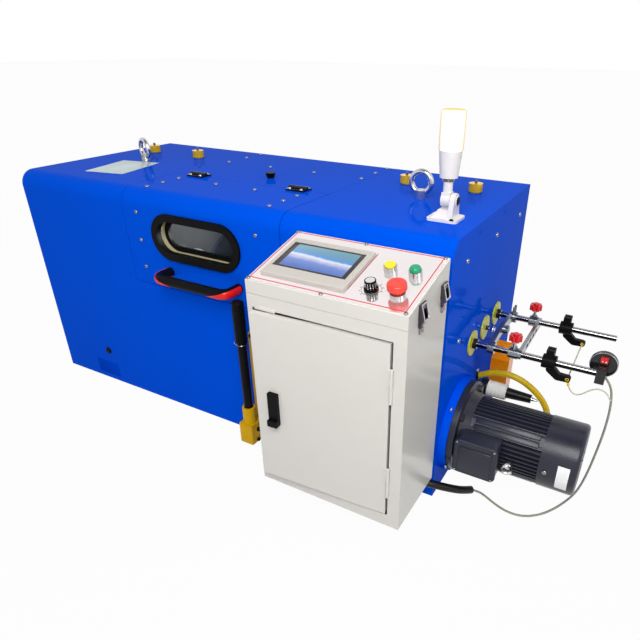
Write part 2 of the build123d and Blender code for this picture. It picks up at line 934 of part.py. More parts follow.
# Jack lever: a tongue with a pin fixed to the front panel, and the slotted block that swings on it
with BuildPart() as lever_block:
    with BuildSketch(Plane.YZ.offset(lever_x - lever_tongue_width / 2)):
        with Locations((lever_y, lever_pivot_z)):
            Circle(lever_tongue_radius)
        with Locations(((lever_y + front_y) / 2, lever_pivot_z)):
            Rectangle(front_y - lever_y, 2 * lever_tongue_radius)
    extrude(amount=lever_tongue_width)
    with BuildSketch(Plane.XZ.offset(-front_y)):
        with Locations((lever_x, lever_pivot_z)):
            Rectangle(lever_foot_width, lever_foot_height)
    extrude(amount=lever_foot_thickness)
    with BuildSketch(Plane.YZ.offset(lever_x - lever_block_width / 2)):
        with Locations((lever_y, lever_pivot_z)):
            Circle(lever_pin_radius)
    extrude(amount=lever_block_width)
lever_block.part.label = "lever_block"
export_step(lever_block.part, "parts/lever_block.step")

with BuildPart() as lever_socket:
    with BuildSketch(Plane.XY.offset(lever_block_bottom)):
        with Locations((lever_x, lever_y)):
            RectangleRounded(lever_block_width, lever_block_depth, lever_block_edge)
    extrude(amount=lever_socket_bottom - lever_block_bottom)
    slot_back = lever_block_depth / 2 + overrun
    slot_top = lever_pivot_z + lever_slot_rise
    slot_bottom = lever_block_bottom - overrun
    with BuildSketch(Plane.YZ.offset(lever_x - lever_slot / 2)):
        with Locations((lever_y + (slot_back - lever_slot_front) / 2, (slot_top + slot_bottom) / 2)):
            Rectangle(slot_back + lever_slot_front, slot_top - slot_bottom)
    extrude(amount=lever_slot, mode=Mode.SUBTRACT)
    with BuildSketch(Plane.YZ.offset(lever_x - lever_block_width / 2)):
        with Locations((lever_y, lever_pivot_z)):
            Circle(lever_pin_radius + fit_gap)
    extrude(amount=lever_block_width, mode=Mode.SUBTRACT)
    with BuildSketch(Plane.XY.offset(lever_socket_bottom)):
        with Locations((lever_x, lever_y)):
            Circle(lever_socket_radius)
    extrude(amount=lever_socket_top - lever_socket_bottom)
lever_socket.part.label = "lever_socket"
export_step(lever_socket.part, "parts/lever_socket.step")

with BuildPart() as lever_grip:
    with BuildSketch(Plane.XY.offset(lever_socket_top)):
        with Locations((lever_x, lever_y)):
            Circle(lever_rod_radius)
    extrude(amount=lever_grip_bottom - lever_socket_top)
    with BuildSketch(Plane.XY.offset(lever_grip_bottom)):
        with Locations((lever_x, lever_y)):
            Circle(lever_grip_radius)
    extrude(amount=lever_top - lever_grip_bottom)
    fillet(lever_grip.faces().sort_by(Axis.Z)[-1].edges(), lever_grip_round)
lever_grip.part.label = "lever_grip"
export_step(lever_grip.part, "parts/lever_grip.step")

with BuildPart() as lift_link:
    with BuildSketch(Plane.XZ.offset(-front_y)):
        with Locations((link_x, (link_bottom + link_top) / 2)):
            SlotOverall(link_top - link_bottom, link_width, rotation=90)
    extrude(amount=link_thickness)
    with BuildSketch(Plane.XZ.offset(link_thickness - front_y)):
        with Locations((link_x, link_top - link_width / 2)):
            Circle(link_bolt_radius)
    extrude(amount=link_bolt_height)
lift_link.part.label = "lift_link"
export_step(lift_link.part, "parts/lift_link.step")

# Control console: cabinet, rails that hang it, door, lid and controls
door_left = console_left + door_opening_left
door_right = console_right - door_opening_right
door_hinge_y = console_front - door_hinge_offset
door_knuckles = (
    door_opening_bottom + door_knuckle_inset,
    door_opening_top - door_knuckle_inset - 2 * door_knuckle_length,
)
lid_hinge_x = console_left - lid_hinge_offset
lid_knuckles = (console_front + lid_knuckle_inset, console_back - lid_knuckle_inset - 2 * lid_knuckle_length)

with BuildPart() as console_cabinet:
    with BuildSketch(Plane.XY.offset(console_bottom)):
        with Locations((console_middle, (console_front + console_back) / 2)):
            Rectangle(console_width, console_depth)
    extrude(amount=console_seam - console_bottom)
    with BuildSketch(Plane.XY.offset(console_bottom + console_wall)):
        with Locations((console_middle, (console_front + console_back) / 2)):
            Rectangle(console_width - 2 * console_wall, console_depth - 2 * console_wall)
    extrude(amount=console_seam - console_bottom, mode=Mode.SUBTRACT)
    with BuildSketch(Plane.XZ.offset(-console_front)):
        with Locations(((door_left + door_right) / 2, (door_opening_bottom + door_opening_top) / 2)):
            Rectangle(door_right - door_left, door_opening_top - door_opening_bottom)
    extrude(amount=-console_wall, mode=Mode.SUBTRACT)
    for z in door_knuckles:
        with BuildSketch(Plane.XY.offset(z)):
            with Locations((door_right, door_hinge_y)):
                Circle(door_knuckle_radius)
            with Locations((door_right + door_knuckle_radius / 2, (door_hinge_y + console_front) / 2)):
                Rectangle(door_knuckle_radius, door_hinge_offset)
        extrude(amount=door_knuckle_length)
    for y in lid_knuckles:
        with BuildSketch(Plane.XZ.offset(-y)):
            with Locations((lid_hinge_x, console_seam)):
                Circle(lid_knuckle_radius)
            with Locations(((lid_hinge_x + console_left) / 2, console_seam - lid_leaf_height / 2)):
                Rectangle(lid_hinge_offset, lid_leaf_height)
        extrude(amount=-lid_knuckle_length)
console_cabinet.part.label = "console_cabinet"
export_step(console_cabinet.part, "parts/console_cabinet.step")

with BuildPart() as console_brackets:
    for z in (lower_bracket_z, upper_bracket_z):
        with BuildSketch(Plane.XZ.offset(-front_y)):
            with Locations((console_middle, z)):
                Rectangle(console_width - 2 * bracket_inset, bracket_height)
        extrude(amount=console_gap)
console_brackets.part.label = "console_brackets"
export_step(console_brackets.part, "parts/console_brackets.step")

# The door stands a little open, so it is drawn on a plane turned about its hinge.
door_turn = radians(door_ajar)
door_plane = Plane(origin=(door_right, door_hinge_y, 0), x_dir=(cos(door_turn), sin(door_turn), 0), z_dir=(0, 0, 1))
door_width = door_right - door_left - 2 * door_gap
door_height = door_opening_top - door_opening_bottom - 2 * door_gap
door_bottom = door_opening_bottom + door_gap
door_face = door_hinge_offset - door_proud
with BuildPart() as console_door:
    with BuildSketch(door_plane.offset(door_bottom)):
        with Locations((-door_gap - door_width / 2, door_face + door_thickness / 2)):
            Rectangle(door_width, door_thickness)
    extrude(amount=door_height)
    with BuildSketch(door_plane.offset(door_bottom + door_wall)):
        with Locations((-door_gap - door_width / 2, door_face + door_wall + door_thickness / 2)):
            Rectangle(door_width - 2 * door_wall, door_thickness)
    extrude(amount=door_height - 2 * door_wall, mode=Mode.SUBTRACT)
    for z in door_knuckles:
        with BuildSketch(door_plane.offset(z + door_knuckle_length + knuckle_gap)):
            Circle(door_knuckle_radius)
            with Locations((-door_gap, door_face / 2)):
                Rectangle(2 * door_gap, door_face)
        extrude(amount=door_knuckle_length)
console_door.part.label = "console_door"
export_step(console_door.part, "parts/console_door.step")

with BuildPart() as door_lock:
    with BuildSketch(door_plane.offset(lock_z - lock_height / 2)):
        with Locations((-door_gap - door_width + lock_inset, door_face - lock_thickness / 2)):
            Rectangle(lock_width, lock_thickness)
    extrude(amount=lock_height)
    with BuildSketch(door_plane.offset(lock_z - lock_height / 2)):
        with Locations((-door_gap - door_width + lock_inset, door_face - lock_thickness - lock_lip / 2)):
            Rectangle(lock_width, lock_lip)
    extrude(amount=lock_lip_height)
door_lock.part.label = "door_lock"
export_step(door_lock.part, "parts/door_lock.step")

with BuildPart() as console_lid:
    with BuildSketch(Plane.YZ.offset(console_left)):
        with BuildLine():
            Polyline(
                (console_front, lid_bottom),
                (console_front, lid_front_top),
                (console_back, lid_back_top),
                (console_back, lid_bottom),
                close=True,
            )
        make_face()
    extrude(amount=console_width)
    roof = console_wall / cos(lid_slope)
    rise = console_wall * tan(lid_slope)
    with BuildSketch(Plane.YZ.offset(console_left + console_wall)):
        with BuildLine():
            Polyline(
                (console_front + console_wall, lid_bottom),
                (console_front + console_wall, lid_front_top + rise - roof),
                (console_back - console_wall, lid_back_top - rise - roof),
                (console_back - console_wall, lid_bottom),
                close=True,
            )
        make_face()
    extrude(amount=console_width - 2 * console_wall, mode=Mode.SUBTRACT)
    for y in lid_knuckles:
        with BuildSketch(Plane.XZ.offset(-y - lid_knuckle_length - knuckle_gap)):
            with Locations((lid_hinge_x, console_seam)):
                Circle(lid_knuckle_radius)
            with Locations(((lid_hinge_x + console_left) / 2, console_seam + lid_leaf_height / 2)):
                Rectangle(lid_hinge_offset, lid_leaf_height)
        extrude(amount=-lid_knuckle_length)
console_lid.part.label = "console_lid"
export_step(console_lid.part, "parts/console_lid.step")

with BuildPart() as control_panel:
    with BuildSketch(panel_plane):
        with Locations((console_middle, lid_run / 2)):
            Rectangle(console_width - 2 * panel_margin, lid_run - 2 * panel_margin)
    extrude(amount=panel_thickness)
control_panel.part.label = "control_panel"
export_step(control_panel.part, "parts/control_panel.step")

with BuildPart() as touch_panel:
    with BuildSketch(control_plane):
        with Locations((screen_x, screen_v)):
            Rectangle(screen_width, screen_height)
    extrude(amount=screen_thickness)
    chamfer(touch_panel.faces().sort_by(Axis((0, 0, 0), panel_plane.z_dir))[-1].edges(), screen_edge)
    with BuildSketch(control_plane.offset(screen_thickness)):
        with Locations((screen_x, screen_v + screen_frame_shift)):
            Rectangle(screen_frame_width, screen_frame_height)
    extrude(amount=-screen_recess, mode=Mode.SUBTRACT)
touch_panel.part.label = "touch_panel"
export_step(touch_panel.part, "parts/touch_panel.step")

with BuildPart() as button_collars:
    with BuildSketch(control_plane):
        with Locations((yellow_x, back_row_v), (green_x, back_row_v)):
            Circle(collar_radius)
            Circle(cap_radius + button_gap, mode=Mode.SUBTRACT)
    extrude(amount=collar_height)
    with BuildSketch(control_plane):
        with Locations((stop_x, front_row_v)):
            Circle(stop_collar_radius)
            Circle(stop_stem_radius + button_gap, mode=Mode.SUBTRACT)
    extrude(amount=stop_collar_height)
button_collars.part.label = "button_collars"
export_step(button_collars.part, "parts/button_collars.step")

with BuildPart() as yellow_button:
    with BuildSketch(control_plane.offset(cap_lift)):
        with Locations((yellow_x, back_row_v)):
            Circle(cap_radius)
    extrude(amount=collar_height + cap_proud - cap_lift)
yellow_button.part.label = "yellow_button"
export_step(yellow_button.part, "parts/yellow_button.step")

with BuildPart() as green_button:
    with BuildSketch(control_plane.offset(cap_lift)):
        with Locations((green_x, back_row_v)):
            Circle(cap_radius)
    extrude(amount=collar_height + cap_proud + green_dome - cap_lift)
    fillet(green_button.faces().sort_by(Axis((0, 0, 0), panel_plane.z_dir))[-1].edges(), green_dome)
green_button.part.label = "green_button"
export_step(green_button.part, "parts/green_button.step")

with BuildPart() as speed_knob:
    with BuildSketch(control_plane.offset(seat_gap)):
        with Locations((knob_x, front_row_v)):
            Circle(knob_skirt_radius)
    extrude(amount=knob_skirt_height)
    with BuildSketch(control_plane.offset(seat_gap + knob_skirt_height)):
        with Locations((knob_x, front_row_v)):
            Circle(knob_radius)
            with PolarLocations(knob_radius, knob_flutes):
                Circle(knob_flute_radius, mode=Mode.SUBTRACT)
    extrude(amount=knob_height - knob_skirt_height)
speed_knob.part.label = "speed_knob"
export_step(speed_knob.part, "parts/speed_knob.step")

with BuildPart() as stop_button:
    with BuildSketch(control_plane.offset(stop_stem_lift)):
        with Locations((stop_x, front_row_v)):
            Circle(stop_stem_radius)
    extrude(amount=stop_head_lift - stop_stem_lift)
    with BuildSketch(control_plane.offset(stop_head_lift)):
        with Locations((stop_x, front_row_v)):
            Circle(stop_head_radius)
    extrude(amount=stop_head_height)
    fillet(stop_button.faces().sort_by(Axis((0, 0, 0), panel_plane.z_dir))[-1].edges(), stop_head_round)
stop_button.part.label = "stop_button"
export_step(stop_button.part, "parts/stop_button.step")

# Toggle latches: the body sits on the lid and its hook reaches down over the seam.
with BuildPart() as lid_latches:
    latch_top = console_seam + latch_rise
    latch_bottom = console_seam - latch_drop
    latch_body_bottom = console_seam + latch_body_rise
    for y in (console_front + latch_front_inset, console_back - latch_rear_inset):
        with BuildSketch(Plane.XZ.offset(-y - latch_width / 2)):
            with BuildLine():
                Polyline(
                    (console_right, latch_top),
                    (console_right + latch_base, latch_top),
                    (console_right + latch_thickness, latch_body_bottom),
                    (console_right + latch_base, latch_bottom),
                    (console_right + latch_relief, latch_bottom),
                    (console_right + latch_relief, latch_body_bottom),
                    (console_right, latch_body_bottom),
                    close=True,
                )
            make_face()
        extrude(amount=latch_width)
        with BuildSketch(Plane.YZ.offset(console_right + latch_base)):
            with Locations((y, console_seam + latch_pocket_rise)):
                Rectangle(latch_pocket_width, latch_pocket_height)
        extrude(amount=latch_thickness, mode=Mode.SUBTRACT)
lid_latches.part.label = "lid_latches"
export_step(lid_latches.part, "parts/lid_latches.step")

# Wire guide: flanges and spindle nose on the end plate, rods, bridge, slotted bar, clamps and sensor
with BuildPart() as wire_discs:
    with BuildSketch(Plane.YZ.offset(half_length)):
        with Locations((-rod_y, axis_z), (0, axis_z), (rod_y, axis_z)):
            Circle(flange_radius)
    extrude(amount=flange_thickness)
    with BuildSketch(Plane.YZ.offset(half_length + flange_thickness)):
        with Locations((-rod_y, axis_z), (rod_y, axis_z)):
            Circle(flange_hub_radius)
    extrude(amount=flange_hub_length)
    with BuildSketch(Plane.YZ.offset(half_length)):
        with Locations((-rod_y, axis_z), (rod_y, axis_z)):
            Circle(rod_radius + fit_gap)
    extrude(amount=flange_thickness + flange_hub_length, mode=Mode.SUBTRACT)
    with BuildSketch(Plane.YZ.offset(half_length + flange_thickness)):
        with Locations((0, axis_z)):
            RegularPolygon(nose_radius, 6)
    extrude(amount=nose_length)
wire_discs.part.label = "wire_discs"
export_step(wire_discs.part, "parts/wire_discs.step")

with BuildPart() as guide_rods:
    with BuildSketch(Plane.YZ.offset(half_length)):
        with Locations((-rod_y, axis_z), (rod_y, axis_z)):
            Circle(rod_radius)
    extrude(amount=rod_end - half_length)
guide_rods.part.label = "guide_rods"
export_step(guide_rods.part, "parts/guide_rods.step")

with BuildPart() as rod_bridge:
    with BuildSketch(Plane.YZ.offset(bridge_x)):
        with BuildLine():
            upper_arch = ThreePointArc(
                (-rod_y, axis_z + bridge_height / 2),
                (0, axis_z + bridge_height / 2 + bridge_rise),
                (rod_y, axis_z + bridge_height / 2),
            )
            lower_arch = ThreePointArc(
                (rod_y, axis_z - bridge_height / 2),
                (0, axis_z - bridge_height / 2 + bridge_rise),
                (-rod_y, axis_z - bridge_height / 2),
            )
            Line(upper_arch @ 1, lower_arch @ 0)
            Line(lower_arch @ 1, upper_arch @ 0)
        make_face()
    extrude(amount=bridge_thickness)
    with BuildSketch(Plane.YZ.offset(bridge_x)):
        with Locations((-rod_y, axis_z), (rod_y, axis_z)):
            Circle(bridge_boss_radius)
    extrude(amount=bridge_boss_length)
    with BuildSketch(Plane.YZ.offset(bridge_x)):
        with Locations((0, axis_z + bridge_rise / 2)):
            Circle(bridge_hub_radius)
    extrude(amount=bridge_hub_length)
    with BuildSketch(Plane.YZ.offset(bridge_x)):
        with Locations((-rod_y, axis_z), (rod_y, axis_z)):
            Circle(rod_radius + fit_gap)
        with Locations((0, axis_z + bridge_rise / 2)):
            Circle(bridge_eye_radius)
    extrude(amount=bridge_hub_length, mode=Mode.SUBTRACT)
    pin_x = bridge_x + bridge_boss_length / 2
    with BuildSketch(Plane.XY.offset(axis_z + rod_radius + bridge_pin_radius)):
        with Locations((pin_x, rod_y - bridge_pin_spacing / 2), (pin_x, rod_y + bridge_pin_spacing / 2)):
            Circle(bridge_pin_radius)
    extrude(amount=bridge_boss_radius - rod_radius - bridge_pin_radius + bridge_pin_height)
rod_bridge.part.label = "rod_bridge"
export_step(rod_bridge.part, "parts/rod_bridge.step")

with BuildPart() as slotted_bar:
    with BuildSketch(Plane.YZ.offset(guide_x)):
        with Locations((-rod_y, axis_z), (rod_y, axis_z)):
            Circle(guide_boss_radius)
    extrude(amount=guide_boss_length)
    with BuildSketch(Plane.XY.offset(axis_z)):
        with Locations(
            (guide_x + guide_boss_length / 2, -rod_y), (guide_x + guide_boss_length / 2, rod_y)
        ):
            Circle(guide_pad_radius)
    extrude(amount=guide_pad_height)
    with BuildSketch(Plane.YZ.offset(guide_x + guide_boss_length)):
        with Locations((0, axis_z)):
            SlotOverall(rod_spacing + guide_bar_height, guide_bar_height)
            with GridLocations(guide_slot_pitch, 0, guide_slots, 1):
                SlotOverall(guide_slot_length, guide_slot_width, mode=Mode.SUBTRACT)
    extrude(amount=guide_bar)
    with BuildSketch(Plane.YZ.offset(guide_x)):
        with Locations((-rod_y, axis_z), (rod_y, axis_z)):
            Circle(rod_radius + fit_gap)
    extrude(amount=guide_boss_length + guide_bar, mode=Mode.SUBTRACT)
slotted_bar.part.label = "slotted_bar"
export_step(slotted_bar.part, "parts/slotted_bar.step")

with BuildPart() as star_knobs:
    stem_x = guide_x + guide_boss_length / 2
    level = axis_z + guide_pad_height
    with BuildSketch(Plane.XY.offset(level)):
        with Locations((stem_x, -rod_y), (stem_x, rod_y)):
            Circle(star_stem_radius)
    extrude(amount=star_stem_height)
    level = level + star_stem_height
    with BuildSketch(Plane.XY.offset(level)):
        with Locations((stem_x, -rod_y), (stem_x, rod_y)):
            Circle(star_core_radius)
            with PolarLocations(star_core_radius, star_lobes):
                Circle(star_lobe_radius)
    extrude(amount=star_height)
    level = level + star_height
    with BuildSketch(Plane.XY.offset(level)):
        with Locations((stem_x, -rod_y), (stem_x, rod_y)):
            Circle(star_crown_radius)
    extrude(amount=star_crown_height)
star_knobs.part.label = "star_knobs"
export_step(star_knobs.part, "parts/star_knobs.step")

# Each clamp is a split ring with a lug above it and a cranked arm that ends in a wire eye.
with BuildPart() as wire_clamps:
    lug_top = axis_z + clamp_lug_rise
    for y in (-rod_y, rod_y):
        with BuildSketch(Plane.YZ.offset(clamp_x - clamp_length / 2)):
            with Locations((y, axis_z)):
                Circle(clamp_radius)
        extrude(amount=clamp_length)
        with BuildSketch(Plane.XZ.offset(-y - clamp_lug_width / 2)):
            with Locations((clamp_x, (axis_z + lug_top) / 2)):
                Rectangle(clamp_lug_length, lug_top - axis_z)
        extrude(amount=clamp_lug_width)
        with BuildSketch(Plane.XZ.offset(-y - clamp_split / 2)):
            with Locations((clamp_x, lug_top - clamp_split_depth / 2)):
                Rectangle(clamp_lug_length, clamp_split_depth)
        extrude(amount=clamp_split, mode=Mode.SUBTRACT)
        with BuildSketch(Plane.XZ.offset(-y - arm_width / 2)):
            with Locations((arm_root_x, arm_root_z)):
                Circle(arm_root_radius)
            with Locations((arm_elbow_x, arm_elbow_z)):
                Circle(arm_elbow_radius)
            make_hull()
        extrude(amount=arm_width)
        with BuildSketch(Plane.XZ.offset(-y - arm_width / 2)):
            with Locations((arm_elbow_x, arm_elbow_z)):
                Circle(arm_elbow_radius)
            with Locations((arm_tip_x, arm_tip_z)):
                Circle(arm_tip_radius)
            make_hull()
            with Locations((arm_tip_x, arm_tip_z)):
                Circle(arm_eye_radius, mode=Mode.SUBTRACT)
        extrude(amount=arm_width)
        with BuildSketch(Plane.YZ.offset(clamp_x - clamp_length / 2)):
            with Locations((y, axis_z)):
                Circle(rod_radius + fit_gap)
        extrude(amount=clamp_length, mode=Mode.SUBTRACT)
wire_clamps.part.label = "wire_clamps"
export_step(wire_clamps.part, "parts/wire_clamps.step")

with BuildPart() as sensor_dish:
    block_back = sensor_block_width / 2 - rod_y
    with BuildSketch(Plane.XZ.offset(-block_back)):
        with Locations((dish_x, (sensor_block_bottom + sensor_block_top) / 2)):
            Rectangle(sensor_block_length, sensor_block_top - sensor_block_bottom)
    extrude(amount=sensor_block_width)
    with BuildSketch(Plane.YZ.offset(dish_x - sensor_block_length / 2)):
        with Locations((-rod_y, axis_z)):
            Circle(rod_radius + fit_gap)
    extrude(amount=rod_end - dish_x + sensor_block_length / 2, mode=Mode.SUBTRACT)
    with BuildSketch(Plane.XZ.offset(-block_back)):
        with Locations((dish_x, dish_z)):
            Circle(dish_radius)
    extrude(amount=-dish_thickness)
    with BuildSketch(Plane.XZ.offset(-block_back)):
        with Locations((dish_x, dish_z)):
            Circle(dish_radius - dish_rim)
            Circle(dish_hub_radius, mode=Mode.SUBTRACT)
    extrude(amount=-dish_recess, mode=Mode.SUBTRACT)
    with BuildSketch(Plane.XZ.offset(-block_back - dish_recess)):
        with Locations((dish_x, dish_z + sensor_plug_rise)):
            Rectangle(sensor_plug_width, sensor_plug_height)
    extrude(amount=sensor_plug_depth)
sensor_dish.part.label = "sensor_dish"
export_step(sensor_dish.part, "parts/sensor_dish.step")

# Guard and rotary union on the end plate
with BuildPart() as guard_box:
    with BuildSketch(Plane.YZ.offset(half_length)):
        with BuildLine():
            Polyline(
                (guard_y, guard_bottom),
                (guard_y + guard_depth, guard_bottom),
                (guard_y + guard_depth, guard_back_top),
                (guard_y, guard_front_top),
                close=True,
            )
        make_face()
    extrude(amount=guard_reach)
guard_box.part.label = "guard_box"
export_step(guard_box.part, "parts/guard_box.step")

with BuildPart() as rotary_union:
    with BuildSketch(Plane.XZ.offset(-union_y)):
        with BuildLine():
            Polyline(
                (half_length, union_z),
                (half_length, union_z + union_neck_radius),
                (union_neck_end, union_z + union_neck_radius),
                (union_neck_end, union_z + union_flange_radius),
                (union_flange_end, union_z + union_flange_radius),
                (union_flange_end, union_z + union_sleeve_radius),
                (union_sleeve_end, union_z + union_sleeve_radius),
                (union_sleeve_end, union_z + union_body_radius),
                (union_body_end, union_z + union_nose_radius),
                (union_body_end, union_z + union_tip_radius),
                (union_tip_end, union_z + union_tip_end_radius),
                (union_tip_end, union_z),
                close=True,
            )
        make_face()
    revolve(axis=Axis((0, union_y, union_z), (1, 0, 0)))
rotary_union.part.label = "rotary_union"
export_step(rotary_union.part, "parts/rotary_union.step")

# Motor: flanged body with fins in four groups between flat corners, fan cowl with a slotted end, and terminal box
shield_start = flange_x + motor_flange_thickness
shield_end = shield_start + motor_shield_length
fin_radius = motor_core_radius + motor_fin_height
with BuildPart() as motor_body:
    with BuildSketch(Plane.YZ.offset(flange_x)):
        with Locations((motor_y, motor_z)):
            Circle(motor_flange_radius)
    extrude(amount=motor_flange_thickness)
    with BuildSketch(Plane.YZ.offset(shield_start)):
        with Locations((motor_y, motor_z)):
            Circle(motor_shield_radius)
    with BuildSketch(Plane.YZ.offset(shield_end)):
        with Locations((motor_y, motor_z)):
            Circle(fin_radius)
    loft()
    with BuildSketch(Plane.YZ.offset(shield_end)):
        with Locations((motor_y, motor_z)):
            Circle(motor_core_radius)
            with GridLocations(motor_fin_pitch, 0, motor_fin_count, 1):
                Rectangle(motor_fin_thickness, 2 * fin_radius)
            with GridLocations(0, motor_fin_pitch, 1, motor_fin_count):
                Rectangle(2 * fin_radius, motor_fin_thickness)
            with PolarLocations(motor_facet_reach / 2, 4, start_angle=45):
                Rectangle(motor_facet_reach, motor_facet_width)
            Circle(fin_radius, mode=Mode.INTERSECT)
    extrude(amount=motor_body_end - shield_end)
    with BuildSketch(Plane.YZ.offset(shield_start)):
        with Locations((motor_y, motor_z)):
            with PolarLocations(motor_bolt_circle, motor_bolts, start_angle=45):
                RegularPolygon(motor_bolt_radius, 6)
    extrude(amount=motor_bolt_height)
    with BuildSketch(Plane.XZ.offset(-terminal_root)):
        with Locations((terminal_middle, terminal_centre_z)):
            Rectangle(
                terminal_right - terminal_left - 2 * terminal_pad_margin,
                terminal_top - terminal_bottom - 2 * terminal_pad_margin,
            )
    extrude(amount=terminal_root - motor_y)
    with BuildSketch(Plane.XZ.offset(-motor_eye_boss_face)):
        with Locations((motor_eye_x, motor_eye_z)):
            Circle(motor_eye_boss_radius)
    extrude(amount=motor_eye_boss_face - motor_y)
motor_body.part.label = "motor_body"
export_step(motor_body.part, "parts/motor_body.step")

with BuildPart() as motor_cowl:
    with BuildSketch(Plane.YZ.offset(motor_body_end)):
        with Locations((motor_y, motor_z)):
            Circle(cowl_radius)
    extrude(amount=cowl_end - motor_body_end)
    fillet(motor_cowl.faces().sort_by(Axis.X)[-1].edges(), cowl_crown)
    with BuildSketch(Plane.YZ.offset(motor_body_end)):
        with Locations((motor_y, motor_z)):
            Circle(cowl_radius - cowl_wall)
    extrude(amount=cowl_end - motor_body_end - cowl_crown, mode=Mode.SUBTRACT)
    with BuildSketch(Plane.YZ.offset(cowl_end - cowl_crown)):
        with Locations((motor_y, motor_z)):
            with PolarLocations((cowl_grille_inner + cowl_grille_outer) / 2, cowl_grille_slots):
                SlotOverall(cowl_grille_outer - cowl_grille_inner, cowl_grille_slot_width)
    extrude(amount=cowl_crown, mode=Mode.SUBTRACT)
motor_cowl.part.label = "motor_cowl"
export_step(motor_cowl.part, "parts/motor_cowl.step")

with BuildPart() as terminal_box:
    with BuildSketch(Plane.XZ.offset(-terminal_front)):
        with Locations((terminal_middle, terminal_centre_z)):
            RectangleRounded(terminal_right - terminal_left, terminal_top - terminal_bottom, terminal_corner)
    extrude(amount=-terminal_lid)
    fillet(terminal_box.faces().sort_by(Axis.Y)[0].edges(), terminal_round)
    with BuildSketch(Plane.XZ.offset(-terminal_front - terminal_lid)):
        with Locations((terminal_middle, terminal_centre_z)):
            RectangleRounded(
                terminal_right - terminal_left - 2 * terminal_lid_gap,
                terminal_top - terminal_bottom - 2 * terminal_lid_gap,
                terminal_corner - terminal_lid_gap,
            )
    extrude(amount=terminal_front + terminal_lid - terminal_root)
terminal_box.part.label = "terminal_box"
export_step(terminal_box.part, "parts/terminal_box.step")

# Cords and the elbow that the conduit leaves from
air_hose = cord(hose_route, hose_radius, "air_hose")
air_hose.part.label = "air_hose"
export_step(air_hose.part, "parts/air_hose.step")

sensor_cable = cord(cable_route, cable_radius, "sensor_cable")
sensor_cable.part.label = "sensor_cable"
export_step(sensor_cable.part, "parts/sensor_cable.step")

twin_wire = cord(wire_route, wire_radius, "twin_wire")
twin_wire.part.label = "twin_wire"
export_step(twin_wire.part, "parts/twin_wire.step")

conduit = cord(conduit_route, conduit_radius, "conduit")
conduit.part.label = "conduit"
export_step(conduit.part, "parts/conduit.step")

with BuildPart() as conduit_elbow:
    elbow_x = console_right - elbow_side
    elbow_y = console_back - elbow_inset
    elbow_z = console_bottom - elbow_drop
    with BuildLine() as elbow_path:
        FilletPolyline(
            (elbow_x, elbow_y, console_bottom),
            (elbow_x, elbow_y, elbow_z),
            (elbow_x + elbow_reach, elbow_y, elbow_z),
            radius=elbow_bend,
        )
    with BuildSketch(Plane(origin=(elbow_x, elbow_y, console_bottom), z_dir=(0, 0, -1))):
        Circle(elbow_radius)
    sweep(path=elbow_path.wires()[0])
conduit_elbow.part.label = "conduit_elbow"
export_step(conduit_elbow.part, "parts/conduit_elbow.step")
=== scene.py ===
import math

import bpy
from mathutils import Matrix, Vector


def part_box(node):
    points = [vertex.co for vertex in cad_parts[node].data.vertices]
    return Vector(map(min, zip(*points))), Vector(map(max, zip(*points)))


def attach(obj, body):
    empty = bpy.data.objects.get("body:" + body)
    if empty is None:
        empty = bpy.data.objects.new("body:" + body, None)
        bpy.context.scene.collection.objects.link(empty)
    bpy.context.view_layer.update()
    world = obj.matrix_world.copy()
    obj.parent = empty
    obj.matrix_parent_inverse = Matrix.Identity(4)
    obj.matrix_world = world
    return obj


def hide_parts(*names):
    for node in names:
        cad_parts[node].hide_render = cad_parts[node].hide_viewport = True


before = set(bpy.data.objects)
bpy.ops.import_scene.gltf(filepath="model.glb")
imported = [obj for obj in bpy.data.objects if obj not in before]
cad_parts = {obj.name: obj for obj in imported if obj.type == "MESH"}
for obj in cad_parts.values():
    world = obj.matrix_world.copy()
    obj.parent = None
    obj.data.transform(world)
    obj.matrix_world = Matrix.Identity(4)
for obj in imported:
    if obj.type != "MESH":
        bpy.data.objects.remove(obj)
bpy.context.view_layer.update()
bpy.context.scene.view_settings.view_transform = "Standard"


# The studio: a wide pale floor under a white sky, with a large soft lamp at the right front and a weaker
# one at the right end. A dark card high at the front gives bright metal something to mirror, and a small
# lamp inside the chamber shows what lies behind the window.
FLOOR_SIDE, FLOOR_DROP, FLOOR_GREY, FLOOR_GLOW = 60, 0.0005, 0.58, 0.965
SKY_LEVEL = 0.5
CARD_WAY = (0.05, -0.45, 0.89)
CARD_EDGE = (0.74, 0.90)
CARD_DARK = 0.86
WHITE = (1, 1, 1, 1)


